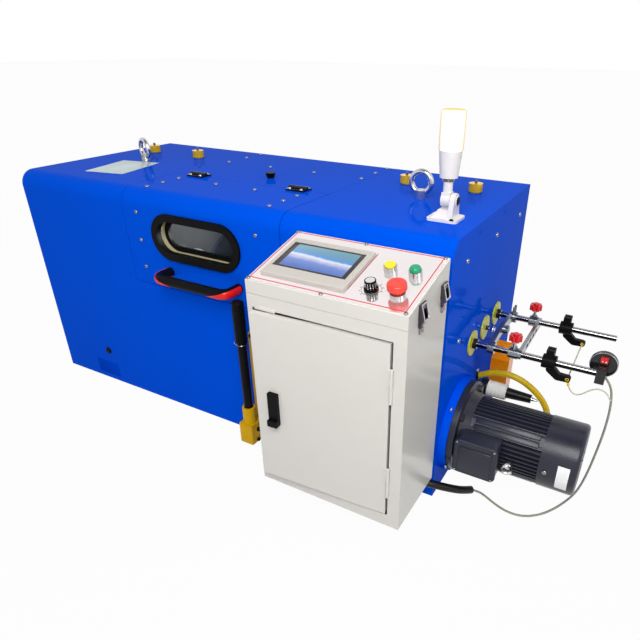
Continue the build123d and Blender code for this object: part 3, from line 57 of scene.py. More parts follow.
class Flow:
    """A value on its way through a material's nodes. Sums and products of flows add Math nodes."""

    def __init__(self, tree, socket):
        self.tree = tree
        self.socket = socket

    def node(self, kind, settings=None, inputs=None, output=0):
        """A further node: its settings first, then the values or flows of its sockets."""
        made = self.tree.nodes.new(kind)
        for key, value in (settings or {}).items():
            if key == "stops":
                while len(made.color_ramp.elements) < len(value):
                    made.color_ramp.elements.new(1)
                for element, (place, colour) in zip(made.color_ramp.elements, value):
                    element.position = place
                    element.color = colour
            else:
                setattr(made, key, value)
        for key, value in (inputs or {}).items():
            if isinstance(value, Flow):
                self.tree.links.new(value.socket, made.inputs[key])
            else:
                made.inputs[key].default_value = value
        return Flow(self.tree, made.outputs[output])

    def math(self, operation, *values):
        return self.node("ShaderNodeMath", {"operation": operation}, dict(enumerate(values)))

    def __add__(self, other):
        return self.math("ADD", self, other)

    def __sub__(self, other):
        return self.math("SUBTRACT", self, other)

    def __rsub__(self, other):
        return self.math("SUBTRACT", other, self)

    def __mul__(self, other):
        return self.math("MULTIPLY", self, other)

    def __gt__(self, other):
        return self.math("GREATER_THAN", self, other)

    def __lt__(self, other):
        return self.math("LESS_THAN", self, other)

    __radd__ = __add__
    __rmul__ = __mul__

    def blend(self, first, second):
        """Colour between first, where this is 0, and second, where it is 1."""
        return self.node("ShaderNodeMix", {"data_type": "RGBA"}, {0: self, 6: first, 7: second}, output=2)

    def axis(self, name):
        return self.node("ShaderNodeSeparateXYZ", None, {0: self}, output=name)

    def into(self, socket):
        """Feeds the material's shader."""
        self.tree.links.new(self.socket, self.tree.nodes["Principled BSDF"].inputs[socket])

    def mix_surface(self, first, second):
        """Makes the material's surface first, where this is 0, and second, where it is 1."""
        mixed = self.node("ShaderNodeMixShader", None, {0: self, 1: first, 2: second})
        self.tree.links.new(mixed.socket, self.tree.nodes["Material Output"].inputs["Surface"])


def bare_finish(name):
    """A new material, its nodes and its shader."""
    material = bpy.data.materials.new(name)
    material.use_nodes = True
    return material, material.node_tree, material.node_tree.nodes["Principled BSDF"]


def coordinates(tree, kind="Object"):
    """Where on the piece, or in which direction of the sky, a colour is asked for."""
    return Flow(tree, tree.nodes.new("ShaderNodeTexCoord").outputs[kind])


def seen_rays(tree):
    """1 for rays from the camera, a mirror or clear glass, and 0 for rays that only light things."""
    path = Flow(tree, tree.nodes.new("ShaderNodeLightPath").outputs["Is Camera Ray"])
    light_path = path.socket.node
    glossy = Flow(tree, light_path.outputs["Is Glossy Ray"])
    through = Flow(tree, light_path.outputs["Is Transmission Ray"])
    return path.math("MAXIMUM", path.math("MAXIMUM", path, glossy), through)


world = bpy.data.worlds.new("white_sky")
world.use_nodes = True
bpy.context.scene.world = world
sky = world.node_tree.nodes["Background"]
sky.inputs["Color"].default_value = WHITE
way = coordinates(world.node_tree, "Generated")
nearness = way.node(
    "ShaderNodeVectorMath", {"operation": "DOT_PRODUCT"}, {0: way, 1: CARD_WAY}, output="Value"
)
card_start, card_full = CARD_EDGE
card = nearness.node(
    "ShaderNodeMapRange", {"interpolation_type": "SMOOTHSTEP"},
    {"Value": nearness, "From Min": card_start, "From Max": card_full, "To Min": 0.0, "To Max": CARD_DARK},
)
sky_strength = seen_rays(world.node_tree) * (1 - SKY_LEVEL - card) + SKY_LEVEL
world.node_tree.links.new(sky_strength.socket, sky.inputs["Strength"])

bpy.ops.object.select_all(action="DESELECT")
bpy.ops.mesh.primitive_plane_add(size=FLOOR_SIDE, location=(0, 0, -FLOOR_DROP))
floor = bpy.context.object
floor.name = "studio_floor"
floor_paint, floor_tree, floor_shader = bare_finish("studio_floor")
floor_shader.inputs["Base Color"].default_value = (FLOOR_GREY, FLOOR_GREY, FLOOR_GREY, 1)
floor_shader.inputs["Roughness"].default_value = 0.9
floor_shader.inputs["Specular IOR Level"].default_value = 0
glow = seen_rays(floor_tree).node("ShaderNodeEmission", None, {"Color": WHITE, "Strength": 1.0})
glow_share = seen_rays(floor_tree) * FLOOR_GLOW
glow_share.mix_surface(Flow(floor_tree, floor_shader.outputs[0]), glow)
floor.data.materials.append(floor_paint)

for lamp_name, place, target, side, watts in (
    ("key_lamp", (1.1, -1.7, 1.9), (0.2, -0.2, 0.45), 1.1, 39),
    ("side_lamp", (3.8, -1.2, 2.2), (0.7, -0.1, 0.3), 1.6, 14),
    ("chamber_lamp", (-0.06, -0.21, 0.57), (-0.26, -0.12, 0.45), 0.08, 2.0),
):
    lamp_data = bpy.data.lights.new(lamp_name, "AREA")
    lamp_data.energy = watts
    lamp_data.size = side
    lamp = bpy.data.objects.new(lamp_name, lamp_data)
    lamp.location = place
    lamp.visible_camera = False
    lamp.rotation_euler = (Vector(target) - Vector(place)).to_track_quat("-Z", "Y").to_euler()
    bpy.context.scene.collection.objects.link(lamp)


# The camera stands at the right front, a little above the machine and looking down on it. Its place, lens
# and shift were worked out from the machine's edges in the photograph.
CAMERA_PLACE = (1.0911, -1.3972, 1.0658)
CAMERA_AZIMUTH, CAMERA_ELEVATION, CAMERA_ROLL = 28.139, 28.953, 0.561
CAMERA_SENSOR, CAMERA_LENS, CAMERA_SHIFT_X, CAMERA_SHIFT_Y = 36, 31.41, -0.0693, 0.0474
camera_data = bpy.data.cameras.new("camera")
camera_data.sensor_width = CAMERA_SENSOR
camera_data.lens = CAMERA_LENS
camera_data.shift_x = CAMERA_SHIFT_X
camera_data.shift_y = CAMERA_SHIFT_Y
camera = bpy.data.objects.new("camera", camera_data)
azimuth, elevation = math.radians(CAMERA_AZIMUTH), math.radians(CAMERA_ELEVATION)
towards = Vector(
    (
        -math.sin(azimuth) * math.cos(elevation),
        math.cos(azimuth) * math.cos(elevation),
        -math.sin(elevation),
    )
)
look = towards.to_track_quat("-Z", "Y").to_matrix() @ Matrix.Rotation(math.radians(CAMERA_ROLL), 3, "Z")
camera.matrix_world = Matrix.Translation(CAMERA_PLACE) @ look.to_4x4()
bpy.context.scene.collection.objects.link(camera)
bpy.context.scene.camera = camera


# The housing: folded sheet steel, screwed to two end plates and sprayed with a deep blue gloss
# enamel that faintly mirrors what stands on it. The paint has a faint orange-peel skin, and the back
# sheet is pale grey on its inner side.
HOUSING_BLUE, BACK_GREY, BACK_SKIN, GLOSS_DRIFT = (0.0, 0.080, 0.70), (0.42, 0.42, 0.38), 0.003, 0.4


def finish(
    name, colour, roughness, metallic=0.0, tone=0.06, tone_scale=9, grain=0, grain_depth=0.0, zones=(),
    **sockets,
):
    """A finish that drifts a little in colour and gloss, with a fine grain in relief. Each zone is
    ((axis, from, to), ...), colour, roughness, metallic: a part of the piece with a look of its own."""
    material, tree, shader = bare_finish(name)
    for key, value in sockets.items():
        shader.inputs[key.replace("_", " ")].default_value = value
    place = coordinates(tree)
    drift = place.node("ShaderNodeTexNoise", None, {"Vector": place, "Scale": tone_scale, "Detail": 4})
    look, gloss, metal = (*colour, 1), roughness, metallic
    for limits, zone_colour, zone_roughness, zone_metallic in zones:
        inside = 1
        for axis, low, high in limits:
            along = place.axis(axis)
            inside = (along > low) * (along < high) * inside
        look = inside.blend(look, (*zone_colour, 1))
        gloss = inside * (zone_roughness - gloss) + gloss
        metal = inside * (zone_metallic - metal) + metal
    if zones:
        metal.into("Metallic")
    else:
        shader.inputs["Metallic"].default_value = metal
    shade = drift * (2 * tone) + (1 - tone)
    tint = shade.node("ShaderNodeCombineColor", None, {0: shade, 1: shade, 2: shade})
    tinted = tint.node(
        "ShaderNodeMix", {"data_type": "RGBA", "blend_type": "MULTIPLY"}, {0: 1, 6: look, 7: tint}, output=2
    )
    tinted.into("Base Color")
    ((drift * GLOSS_DRIFT + (1 - GLOSS_DRIFT / 2)) * gloss).into("Roughness")
    if grain:
        skin = place.node("ShaderNodeTexNoise", None, {"Vector": place, "Scale": grain, "Detail": 2})
        relief = {"Strength": 1, "Distance": grain_depth, "Height": skin}
        skin.node("ShaderNodeBump", None, relief).into("Normal")
    return material


def dress(material, *nodes):
    """Gives CAD nodes their finish."""
    for node in nodes:
        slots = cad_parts[node].data.materials
        slots.clear()
        slots.append(material)


blue_enamel = finish(
    "blue_enamel", HOUSING_BLUE, 0.06, metallic=0.08, tone=0.04, tone_scale=2.5,
    grain=210, grain_depth=0.00003, Specular_IOR_Level=0.0,
)
dress(
    blue_enamel, "base_plate", "left_wrap", "right_wrap", "front_lower", "rear_top",
    "end_plate_left", "end_plate_right", "cover_skin",
)
lined_back = finish(
    "lined_back", HOUSING_BLUE, 0.06, metallic=0.08, tone=0.04, tone_scale=2.5, Specular_IOR_Level=0.0,
    zones=[((("Y", -1.0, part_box("back_panel")[1].y - BACK_SKIN),), BACK_GREY, 0.5, 0.0)],
)
dress(lined_back, "back_panel")


# Housing screws: polished steel button heads with a sunk socket, in rows along the edges of the rear
# top sheet, the end plates and the back panel.
SCREW_RADIUS, SCREW_HEIGHT, SMOOTH_ANGLE = 0.0056, 0.0036, math.radians(35)
REAR_SEAM_X, REAR_SEAM_ROWS, REAR_EDGE_X, REAR_EDGE_Y = 0.258, (0.13, 0.224, 0.305), 0.085, 0.133
END_SCREWS = (
    (-0.284, 0.654), (-0.068, 0.654), (0.145, 0.654), (-0.29, 0.462), (-0.292, 0.271), (-0.292, 0.09),
)
RIGHT_END_EXTRA = ((-0.0905, 0.279),)
BACK_COLUMNS, BACK_ROWS = (-0.64, -0.32, 0, 0.32, 0.64), (0.05, 0.64)


def edit_all():
    """Opens the active piece for editing, with all of it selected."""
    bpy.ops.object.mode_set(mode="EDIT")
    bpy.ops.mesh.select_all(action="SELECT")


def turned(profile, sides=28):
    """A turned piece along +Z: a disc extruded and scaled through each (height, radius)."""
    bpy.ops.object.select_all(action="DESELECT")
    bpy.ops.mesh.primitive_circle_add(vertices=sides, radius=profile[0][1], fill_type="NGON")
    piece = bpy.context.object
    edit_all()
    for (low, start), (high, end) in zip(profile, profile[1:]):
        bpy.ops.mesh.extrude_region_move(TRANSFORM_OT_translate={"value": (0, 0, high - low)})
        bpy.ops.transform.resize(value=(end / start, end / start, 1))
    bpy.ops.object.mode_set(mode="OBJECT")
    return piece


def block(size, edge, steps=2):
    """A block about the origin with its edges rounded."""
    bpy.ops.object.select_all(action="DESELECT")
    bpy.ops.mesh.primitive_cube_add(size=1, scale=size)
    piece = bpy.context.object
    bpy.ops.object.transform_apply(location=False, rotation=False, scale=True)
    edit_all()
    bpy.ops.mesh.bevel(offset=edge, segments=steps, affect="EDGES")
    bpy.ops.object.mode_set(mode="OBJECT")
    return piece


def stand(piece, place, facing=(0, 0, 1), spin=0):
    """Moves a piece from the origin to its place, its +Z turned to face a direction."""
    turn = Vector(facing).to_track_quat("Z", "Y").to_matrix().to_4x4() @ Matrix.Rotation(spin, 4, "Z")
    piece.data.transform(Matrix.Translation(place) @ turn)
    return piece


def joined(pieces):
    """Joins pieces to the first of them."""
    bpy.ops.object.select_all(action="DESELECT")
    for piece in pieces:
        piece.select_set(True)
    bpy.context.view_layer.objects.active = pieces[0]
    bpy.ops.object.join()
    return pieces[0]


def set_out(model, places, facing=(0, 0, 1)):
    """Copies one model to each place, facing a direction, and joins the copies to one piece."""
    copies = []
    for place in places:
        copy = bpy.data.objects.new("copy", model.data.copy())
        bpy.context.scene.collection.objects.link(copy)
        copies.append(stand(copy, place, facing))
    bpy.data.objects.remove(model)
    return joined(copies)


def settle(piece, name, body, material):
    """Ends a piece: normals outwards, smooth shading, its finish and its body."""
    bpy.ops.object.select_all(action="DESELECT")
    piece.select_set(True)
    bpy.context.view_layer.objects.active = piece
    bpy.ops.object.transform_apply(location=True, rotation=True, scale=True)
    edit_all()
    bpy.ops.mesh.normals_make_consistent(inside=False)
    bpy.ops.object.mode_set(mode="OBJECT")
    bpy.ops.object.shade_smooth_by_angle(angle=SMOOTH_ANGLE)
    piece.name = name
    piece.data.name = name
    piece.data.materials.clear()
    piece.data.materials.append(material)
    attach(piece, body)
    return piece


def button_screw(size=1.0):
    """A button head, its size as a share of the housing screws'."""
    radius, height = SCREW_RADIUS * size, SCREW_HEIGHT * size
    return turned(
        [(0, radius), (0.3 * height, radius), (0.75 * height, 0.86 * radius), (height, 0.6 * radius),
         (height, 0.42 * radius), (0.45 * height, 0.38 * radius)],
        sides=20,
    )


top_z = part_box("rear_top")[1].z
end_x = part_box("end_plate_right")[1].x
left_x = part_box("end_plate_left")[0].x
front_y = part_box("front_lower")[0].y
back_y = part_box("back_panel")[1].y
polished_steel = finish("polished_steel", (0.30, 0.29, 0.27), 0.14, metallic=1.0, tone=0.1, tone_scale=40)
rear_screws = [(x, y, top_z) for x in (-REAR_SEAM_X, REAR_SEAM_X) for y in REAR_SEAM_ROWS]
rear_screws += [(x, REAR_EDGE_Y, top_z) for x in (-REAR_EDGE_X, REAR_EDGE_X)]
right_screws = [(end_x, y, z) for y, z in END_SCREWS + RIGHT_END_EXTRA]
left_screws = [(left_x, y, z) for y, z in END_SCREWS]
back_screws = [(x, back_y, z) for x in BACK_COLUMNS for z in BACK_ROWS]
for screws_name, places, facing in (
    ("rear_panel_screws", rear_screws, (0, 0, 1)), ("right_end_screws", right_screws, (1, 0, 0)),
    ("left_end_screws", left_screws, (-1, 0, 0)), ("back_panel_screws", back_screws, (0, 1, 0)),
):
    settle(set_out(button_screw(), places, facing), screws_name, "frame", polished_steel)


# Small plates on the housing: a blank pale aluminium plate stuck on the top, a rubber plug pressed into
# the front sheet and a dark blue cover plate low on the left.
TOP_PLATE_X, TOP_PLATE_Y, TOP_PLATE_THICK, TOP_PLATE_TURN = -0.496, -0.112, 0.0012, math.radians(12)
PLUG_X, PLUG_Z, LOW_PLATE_X, LOW_PLATE_Z, LOW_PLATE_THICK = -0.494, 0.117, -0.5135, 0.044, 0.0016
plate_paint = finish("pale_aluminium", (0.50, 0.62, 0.63), 0.3, metallic=0.35, tone=0.25, tone_scale=26)
top_plate = block((0.140, 0.190, TOP_PLATE_THICK), 0.0005)
stand(top_plate, (TOP_PLATE_X, TOP_PLATE_Y, top_z + TOP_PLATE_THICK / 2), spin=TOP_PLATE_TURN)
settle(top_plate, "blank_top_plate", "frame", plate_paint)
black_rubber = finish(
    "black_rubber", (0.0035, 0.0035, 0.004), 0.42, tone=0.3, tone_scale=60, grain=900, grain_depth=0.00005,
    Specular_IOR_Level=0.05,
)
plug = turned([(0, 0.0125), (0.001, 0.0125), (0.003, 0.011), (0.004, 0.007), (0.0035, 0.004)])
stand(plug, (PLUG_X, front_y, PLUG_Z), (0, -1, 0))
settle(plug, "front_plug", "frame", black_rubber)
dark_blue = finish("dark_blue", (0.0, 0.062, 0.58), 0.2, tone=0.08, Specular_IOR_Level=0.0)
low_plate = block((0.101, LOW_PLATE_THICK, 0.050), 0.0006)
stand(low_plate, (LOW_PLATE_X, front_y - LOW_PLATE_THICK / 2, LOW_PLATE_Z))
settle(low_plate, "front_cover_plate", "frame", dark_blue)


# The lift-up cover: a sheet screwed to a thick cream foam lining, with a rubber seal round a long
# rounded hole, a second seal at the back of the lining and a clear pane behind it.
COVER_SIDES, COVER_SIDE_ROWS, COVER_MIDDLES, COVER_MIDDLE_Y = (
    (-0.217, 0.2125), (-0.270, -0.210, -0.147), (-0.069, 0.072), -0.150,
)
PANE_CLOUD, PANE_GLOSS = 0.06, 0.03
COVER_FRONT_SCREWS = (
    (-0.2205, 0.639), (-0.2205, 0.558), (-0.2205, 0.477), (0.2015, 0.636), (0.21, 0.555), (0.212, 0.477),
    (-0.083, 0.452), (0.057, 0.452),
)
cover_rows = [(x, y, top_z) for x in COVER_SIDES for y in COVER_SIDE_ROWS]
cover_rows += [(x, COVER_MIDDLE_Y, top_z) for x in COVER_MIDDLES]
front_rows = [(x, front_y, z) for x, z in COVER_FRONT_SCREWS]
cover_screws = joined(
    [set_out(button_screw(), cover_rows), set_out(button_screw(), front_rows, (0, -1, 0))]
)
settle(cover_screws, "cover_screws", "cover", polished_steel)
cream_lining = finish(
    "cream_lining", (0.50, 0.445, 0.26), 0.75, tone=0.10, tone_scale=40, grain=700, grain_depth=0.0002
)
dress(cream_lining, "cover_lining")
dress(black_rubber, "window_gasket", "top_bumper")
pane, pane_tree, pane_shader = bare_finish("clear_pane")
pane_shader.inputs["Base Color"].default_value = (0.02, 0.024, 0.03, 1)
pane_shader.inputs["Roughness"].default_value = 0.04
pane_place = coordinates(pane_tree)
pane_cloud = pane_place.node("ShaderNodeTexNoise", None, {"Vector": pane_place, "Scale": 8, "Detail": 2})
pane_clear = pane_place.node("ShaderNodeBsdfTransparent", None, {"Color": (0.93, 0.95, 0.95, 1)})
pane_share = pane_cloud * PANE_CLOUD + PANE_GLOSS
pane_share.mix_surface(pane_clear, Flow(pane_tree, pane_shader.outputs[0]))
dress(pane, "window_pane")


# The cover's handle: a bridge of black moulded plastic with a red half-sleeve clipped round the outer
# side of each bend.
HANDLE_Z, HANDLE_LEG_X, HANDLE_MIDDLE_X = 0.477, 0.128, 0.003
CAP_RADIUS, CAP_SKIN, CAP_START, CAP_LEG, CAP_BEND, CAP_RUN = 0.0146, 0.0012, -0.326, 0.0265, 0.024, 0.034
CAP_ARC_LOW, CAP_ARC_HIGH = -150, 80
CAP_CUT_PLACE, CAP_CUT_WAY = (0.108, -0.36, 0.479), (-0.305, 0, 0.952)


def arc_edge(radius, low, high, sides=72):
    """An open arc about the Z axis between two angles, left in edit mode with all of it selected."""
    bpy.ops.object.select_all(action="DESELECT")
    bpy.ops.mesh.primitive_circle_add(vertices=sides, radius=radius)
    arc = bpy.context.object
    bpy.ops.object.mode_set(mode="EDIT")
    bpy.ops.mesh.select_mode(type="VERT")
    bpy.ops.mesh.select_all(action="DESELECT")
    bpy.ops.object.mode_set(mode="OBJECT")
    for vertex in arc.data.vertices:
        angle = math.degrees(math.atan2(vertex.co.y, vertex.co.x))
        vertex.select = not low <= angle <= high
    bpy.ops.object.mode_set(mode="EDIT")
    bpy.ops.mesh.delete(type="VERT")
    bpy.ops.mesh.select_all(action="SELECT")
    return arc


def thickened(sheet, thickness):
    """Ends edit mode and gives a sheet its wall."""
    bpy.ops.mesh.select_all(action="SELECT")
    bpy.ops.mesh.remove_doubles(threshold=0.00001)
    bpy.ops.mesh.normals_make_consistent(inside=False)
    bpy.ops.object.mode_set(mode="OBJECT")
    wall = sheet.modifiers.new("wall", "SOLIDIFY")
    wall.thickness = thickness
    wall.offset = 0
    bpy.ops.object.modifier_apply(modifier=wall.name)
    return sheet


right_cap = arc_edge(CAP_RADIUS, CAP_ARC_LOW, CAP_ARC_HIGH)
bpy.ops.mesh.extrude_region_move(TRANSFORM_OT_translate={"value": (0, 0, CAP_LEG)})
bpy.ops.mesh.spin(steps=12, angle=math.pi / 2, center=(-CAP_BEND, 0, CAP_LEG), axis=(0, 1, 0))
bpy.ops.mesh.extrude_region_move(TRANSFORM_OT_translate={"value": (-CAP_RUN, 0, 0)})
thickened(right_cap, CAP_SKIN)
right_cap.data.transform(
    Matrix.Translation((HANDLE_LEG_X, CAP_START, HANDLE_Z)) @ Matrix.Rotation(math.pi / 2, 4, "X")
)
edit_all()
bpy.ops.mesh.bisect(plane_co=CAP_CUT_PLACE, plane_no=CAP_CUT_WAY, use_fill=True, clear_outer=True)
bpy.ops.object.mode_set(mode="OBJECT")
left_cap = bpy.data.objects.new("left_cap", right_cap.data.copy())
bpy.context.scene.collection.objects.link(left_cap)
left_cap.data.transform(Matrix.Translation((2 * HANDLE_MIDDLE_X, 0, 0)) @ Matrix.Scale(-1, 4, (1, 0, 0)))
cap_red = finish("cap_red", (0.80, 0.010, 0.006), 0.25, tone=0.08, tone_scale=40, Specular_IOR_Level=0.3)
settle(joined([right_cap, left_cap]), "handle_caps", "cover", cap_red)
black_plastic = finish(
    "black_plastic", (0.0045, 0.0045, 0.005), 0.34, tone=0.3, tone_scale=50,
    grain=1400, grain_depth=0.00003, Specular_IOR_Level=0.06,
)
dress(black_plastic, "cover_handle", "door_lock", "wire_clamps", "conduit_elbow")


# Two butt hinges carry the cover: dark plated steel leaves, each held by a pair of bright button
# screws.
HINGE_MIDDLES, HINGE_SCREW_STEP, HINGE_FACE = (-0.191, 0.177), 0.019, top_z + 0.005
dark_chrome = finish("dark_chrome", (0.035, 0.035, 0.042), 0.2, metallic=0.9, tone=0.2, tone_scale=50)
chrome = finish("chrome", (0.56, 0.56, 0.57), 0.07, metallic=1.0, tone=0.06, tone_scale=30)
dress(dark_chrome, "hinge_leaves", "hinge_bases")
for screw_name, screw_body, screw_y in (
    ("hinge_leaf_screws", "cover", -0.1025), ("hinge_base_screws", "frame", -0.0735),
):
    pairs = [
        (middle + step, screw_y, HINGE_FACE)
        for middle in HINGE_MIDDLES for step in (-HINGE_SCREW_STEP, HINGE_SCREW_STEP)
    ]
    settle(set_out(button_screw(0.8), pairs), screw_name, screw_body, chrome)


# Inside the chamber, seen through the window: pale cast bearing walls and a cradle, the steel flyer
# with its two bows, and a dark bobbin.
grey_casting = finish(
    "grey_casting", (0.52, 0.52, 0.48), 0.5, tone=0.15, tone_scale=20, grain=300, grain_depth=0.0002
)
dress(grey_casting, "bearing_walls", "cradle")
dress(finish("flyer_steel", (0.50, 0.51, 0.52), 0.24, metallic=0.85, tone=0.12, tone_scale=25), "flyer")
dress(finish("bobbin_black", (0.008, 0.010, 0.014), 0.22, tone=0.3, tone_scale=20), "bobbin")


# Top fittings: forged lifting eyes with a bright zinc skin, and brass grease cups with a grey nipple
# screwed into the top sheet.
NIPPLE_FOOT = 0.725
dress(finish("zinc_skin", (0.60, 0.58, 0.58), 0.26, metallic=1.0, tone=0.10, tone_scale=30), "lifting_eyes")
cup_brass = finish(
    "cup_brass", (0.95, 0.56, 0.02), 0.2, metallic=0.45, tone=0.14, tone_scale=90,
    zones=[((("Z", NIPPLE_FOOT, 1.0),), (0.16, 0.16, 0.15), 0.3, 1.0)],
)
dress(cup_brass, "grease_cups")


# The beacon: a white moulded foot with a clamp bolt, a short threaded neck, a tapered white cup and a
# lit lens whose clear shell is amber at its edges.
BEACON_X, BEACON_Y, BEACON_PIVOT, THREAD_FOOT, LENS_FOOT = 0.641, -0.155, 0.745, 0.7868, 0.855
CLAMP_FACE, FOOT_FACE, FOOT_SCREW_X, FOOT_SCREW_Y = 0.668, top_z + 0.006, 0.0245, 0.0285
AMBER_POWER, AMBER_MOST = 2.6, 0.98
white_plastic = finish(
    "white_plastic", (0.74, 0.71, 0.70), 0.28, tone=0.03, tone_scale=20, Specular_IOR_Level=0.3
)
dress(white_plastic, "beacon_base", "beacon_lamp")
lamp_core = finish("lamp_core", (0.9, 0.9, 0.86), 0.4, tone=0.02)
lamp_shader = lamp_core.node_tree.nodes["Principled BSDF"]
lamp_shader.inputs["Emission Color"].default_value = (1, 0.97, 0.88, 1)
lamp_shader.inputs["Emission Strength"].default_value = 0.5
core = turned(
    [(0, 0.0266), (0.001, 0.0269), (0.078, 0.0269), (0.0815, 0.0258), (0.0830, 0.023), (0.0830, 0.018)],
    sides=48,
)
settle(stand(core, (BEACON_X, BEACON_Y, LENS_FOOT)), "beacon_lens", "beacon", lamp_core)
amber, amber_tree, amber_shader = bare_finish("amber_shell")
amber_shader.inputs["Base Color"].default_value = (1.0, 0.60, 0.0, 1)
amber_shader.inputs["Roughness"].default_value = 0.1
amber_shader.inputs["Specular IOR Level"].default_value = 0
amber_edge = Flow(amber_tree, amber_tree.nodes.new("ShaderNodeLayerWeight").outputs["Facing"])
amber_share = amber_edge.math("POWER", amber_edge, AMBER_POWER) * AMBER_MOST
amber_clear = amber_edge.node("ShaderNodeBsdfTransparent")
amber_share.mix_surface(amber_clear, Flow(amber_tree, amber_shader.outputs[0]))
shell = turned(
    [(0, 0.0270), (0.002, 0.0278), (0.078, 0.0276), (0.0822, 0.0264), (0.0840, 0.0236), (0.0840, 0.018)],
    sides=48,
)
settle(stand(shell, (BEACON_X, BEACON_Y, LENS_FOOT)), "beacon_shell", "beacon", amber)
thread = turned(
    [(0, 0.0112), (0.0015, 0.0135), (0.003, 0.0118), (0.0045, 0.0135), (0.006, 0.0118), (0.0075, 0.0135),
     (0.009, 0.0112)]
)
settle(stand(thread, (BEACON_X, BEACON_Y, THREAD_FOOT)), "beacon_thread", "beacon", polished_steel)
clamp_bolt = turned(
    [(0, 0.0098), (0.0009, 0.0098), (0.0012, 0.0092), (0.0012, 0.0068), (0.0004, 0.0064), (0.0004, 0.0045),
     (0.0018, 0.004)]
)
settle(
    stand(clamp_bolt, (CLAMP_FACE, BEACON_Y, BEACON_PIVOT), (1, 0, 0)),
    "beacon_clamp_bolt", "frame", black_plastic,
)
foot_screws = [
    (BEACON_X + way * FOOT_SCREW_X, BEACON_Y - way * FOOT_SCREW_Y, FOOT_FACE) for way in (1, -1)
]
settle(
    set_out(button_screw(0.9), foot_screws), "beacon_foot_screws", "frame", black_plastic
)


# The jack lever: a yellow pivot block and socket low at the front, a black steel tube with a rubber
# grip and a wire clip, and a flat yellow link that runs up into the machine.
LEVER_X, LEVER_Y, GRIP_FOOT, CLIP_Z = 0.161, -0.370, 0.345, 0.3385
LINK_FRONT, BOLT_FACE, BOLT_PLACES = -0.3325, LEVER_X + 0.023, ((-0.366, 0.056), (-0.369, 0.021))
yellow_paint = finish(
    "yellow_paint", (0.66, 0.37, 0.001), 0.3, tone=0.10, tone_scale=25, grain=250, grain_depth=0.0001,
    Specular_IOR_Level=0.1,
)
dress(yellow_paint, "lever_block", "lever_socket")
lever_black = finish(
    "lever_black", (0.0045, 0.0045, 0.005), 0.42, tone=0.3, tone_scale=40, grain=900, grain_depth=0.00006,
    zones=[((("Z", 0.0, GRIP_FOOT),), (0.006, 0.006, 0.007), 0.3, 0.1)], Specular_IOR_Level=0.06,
)
dress(lever_black, "lever_grip")
link_yellow = finish(
    "link_yellow", (0.66, 0.37, 0.001), 0.3, tone=0.10,
    zones=[((("Y", -1.0, LINK_FRONT),), (0.012, 0.012, 0.012), 0.4, 0.3)], Specular_IOR_Level=0.1,
)
dress(link_yellow, "lift_link")


def wire_ring(radius, wire, sweep=360, steps=40):
    """A round wire bent about the Z axis; a full turn closes on itself."""
    bpy.ops.object.select_all(action="DESELECT")
    fill = "NOTHING" if sweep == 360 else "NGON"
    upright = (math.pi / 2, 0, 0)
    bpy.ops.mesh.primitive_circle_add(vertices=10, radius=wire, fill_type=fill, rotation=upright)
    ring = bpy.context.object
    bpy.ops.object.transform_apply(location=False, rotation=True, scale=False)
    edit_all()
    bpy.ops.transform.translate(value=(radius, 0, 0))
    bpy.ops.mesh.spin(steps=steps, angle=math.radians(sweep), center=(0, 0, 0), axis=(0, 0, 1))
    bpy.ops.mesh.select_all(action="SELECT")
    bpy.ops.mesh.remove_doubles(threshold=0.00001)
    bpy.ops.object.mode_set(mode="OBJECT")
    return ring


CLIP_RADIUS, CLIP_WIRE, CLIP_SWEEP = 0.0142, 0.0011, 300
HOOK_RADIUS, HOOK_WIRE, HOOK_SWEEP, HOOK_LEFT, HOOK_FRONT = 0.0048, 0.0009, 250, 0.0185, 0.004
clip_band = stand(wire_ring(CLIP_RADIUS, CLIP_WIRE, CLIP_SWEEP), (LEVER_X, LEVER_Y, CLIP_Z))
clip_hook = wire_ring(HOOK_RADIUS, HOOK_WIRE, HOOK_SWEEP)
stand(clip_hook, (LEVER_X - HOOK_LEFT, LEVER_Y - HOOK_FRONT, CLIP_Z), (0, -1, 0))
settle(joined([clip_band, clip_hook]), "lever_clip", "lever", polished_steel)
side_bolt = turned(
    [(0, 0.0062), (0.0042, 0.0062), (0.0048, 0.0056), (0.0048, 0.0034), (0.0026, 0.0032)], sides=20
)
side_bolts = set_out(side_bolt, [(BOLT_FACE, y, z) for y, z in BOLT_PLACES], (1, 0, 0))
settle(side_bolts, "lever_side_bolts", "lever", black_plastic)


# The console: an ivory-painted sheet-steel cabinet bolted to the housing by two brackets, with a door
# hung on its right side, a lock on the left and a desk lid held by two draw latches.
ivory = finish(
    "ivory_paint", (0.635, 0.615, 0.575), 0.2, tone=0.025, tone_scale=4, grain=320, grain_depth=0.00003,
    Specular_IOR_Level=0.25,
)
dress(ivory, "console_cabinet", "console_door", "console_lid")
dress(finish("bracket_grey", (0.10, 0.10, 0.11), 0.4, metallic=0.5), "console_brackets")
dress(finish("latch_chrome", (0.10, 0.09, 0.11), 0.2, metallic=1.0, tone=0.3, tone_scale=90), "lid_latches")
TAB_SIZE, TAB_PLACE = (0.053, 0.004, 0.0077), (0.3905, -0.5405, 0.56265)
settle(stand(block(TAB_SIZE, 0.0008), TAB_PLACE), "door_stop_tab", "frame", ivory)
LATCH_YS, LATCH_SLOPE = (-0.480, -0.365), Vector((0.008, 0, -0.033))
BAIL_WIRE, BAIL_ROUND, BAIL_HALF, BAIL_X, BAIL_Z = 0.0026, 0.0009, 0.0105, 0.7336, 0.6115
BAIL_ENDS = ((0.7374, 0.5955), (0.7298, 0.6270))
CATCH_SIZE, CATCH_X, CATCH_Z = (0.004, 0.016, 0.013), 0.727, 0.5695
bails = []
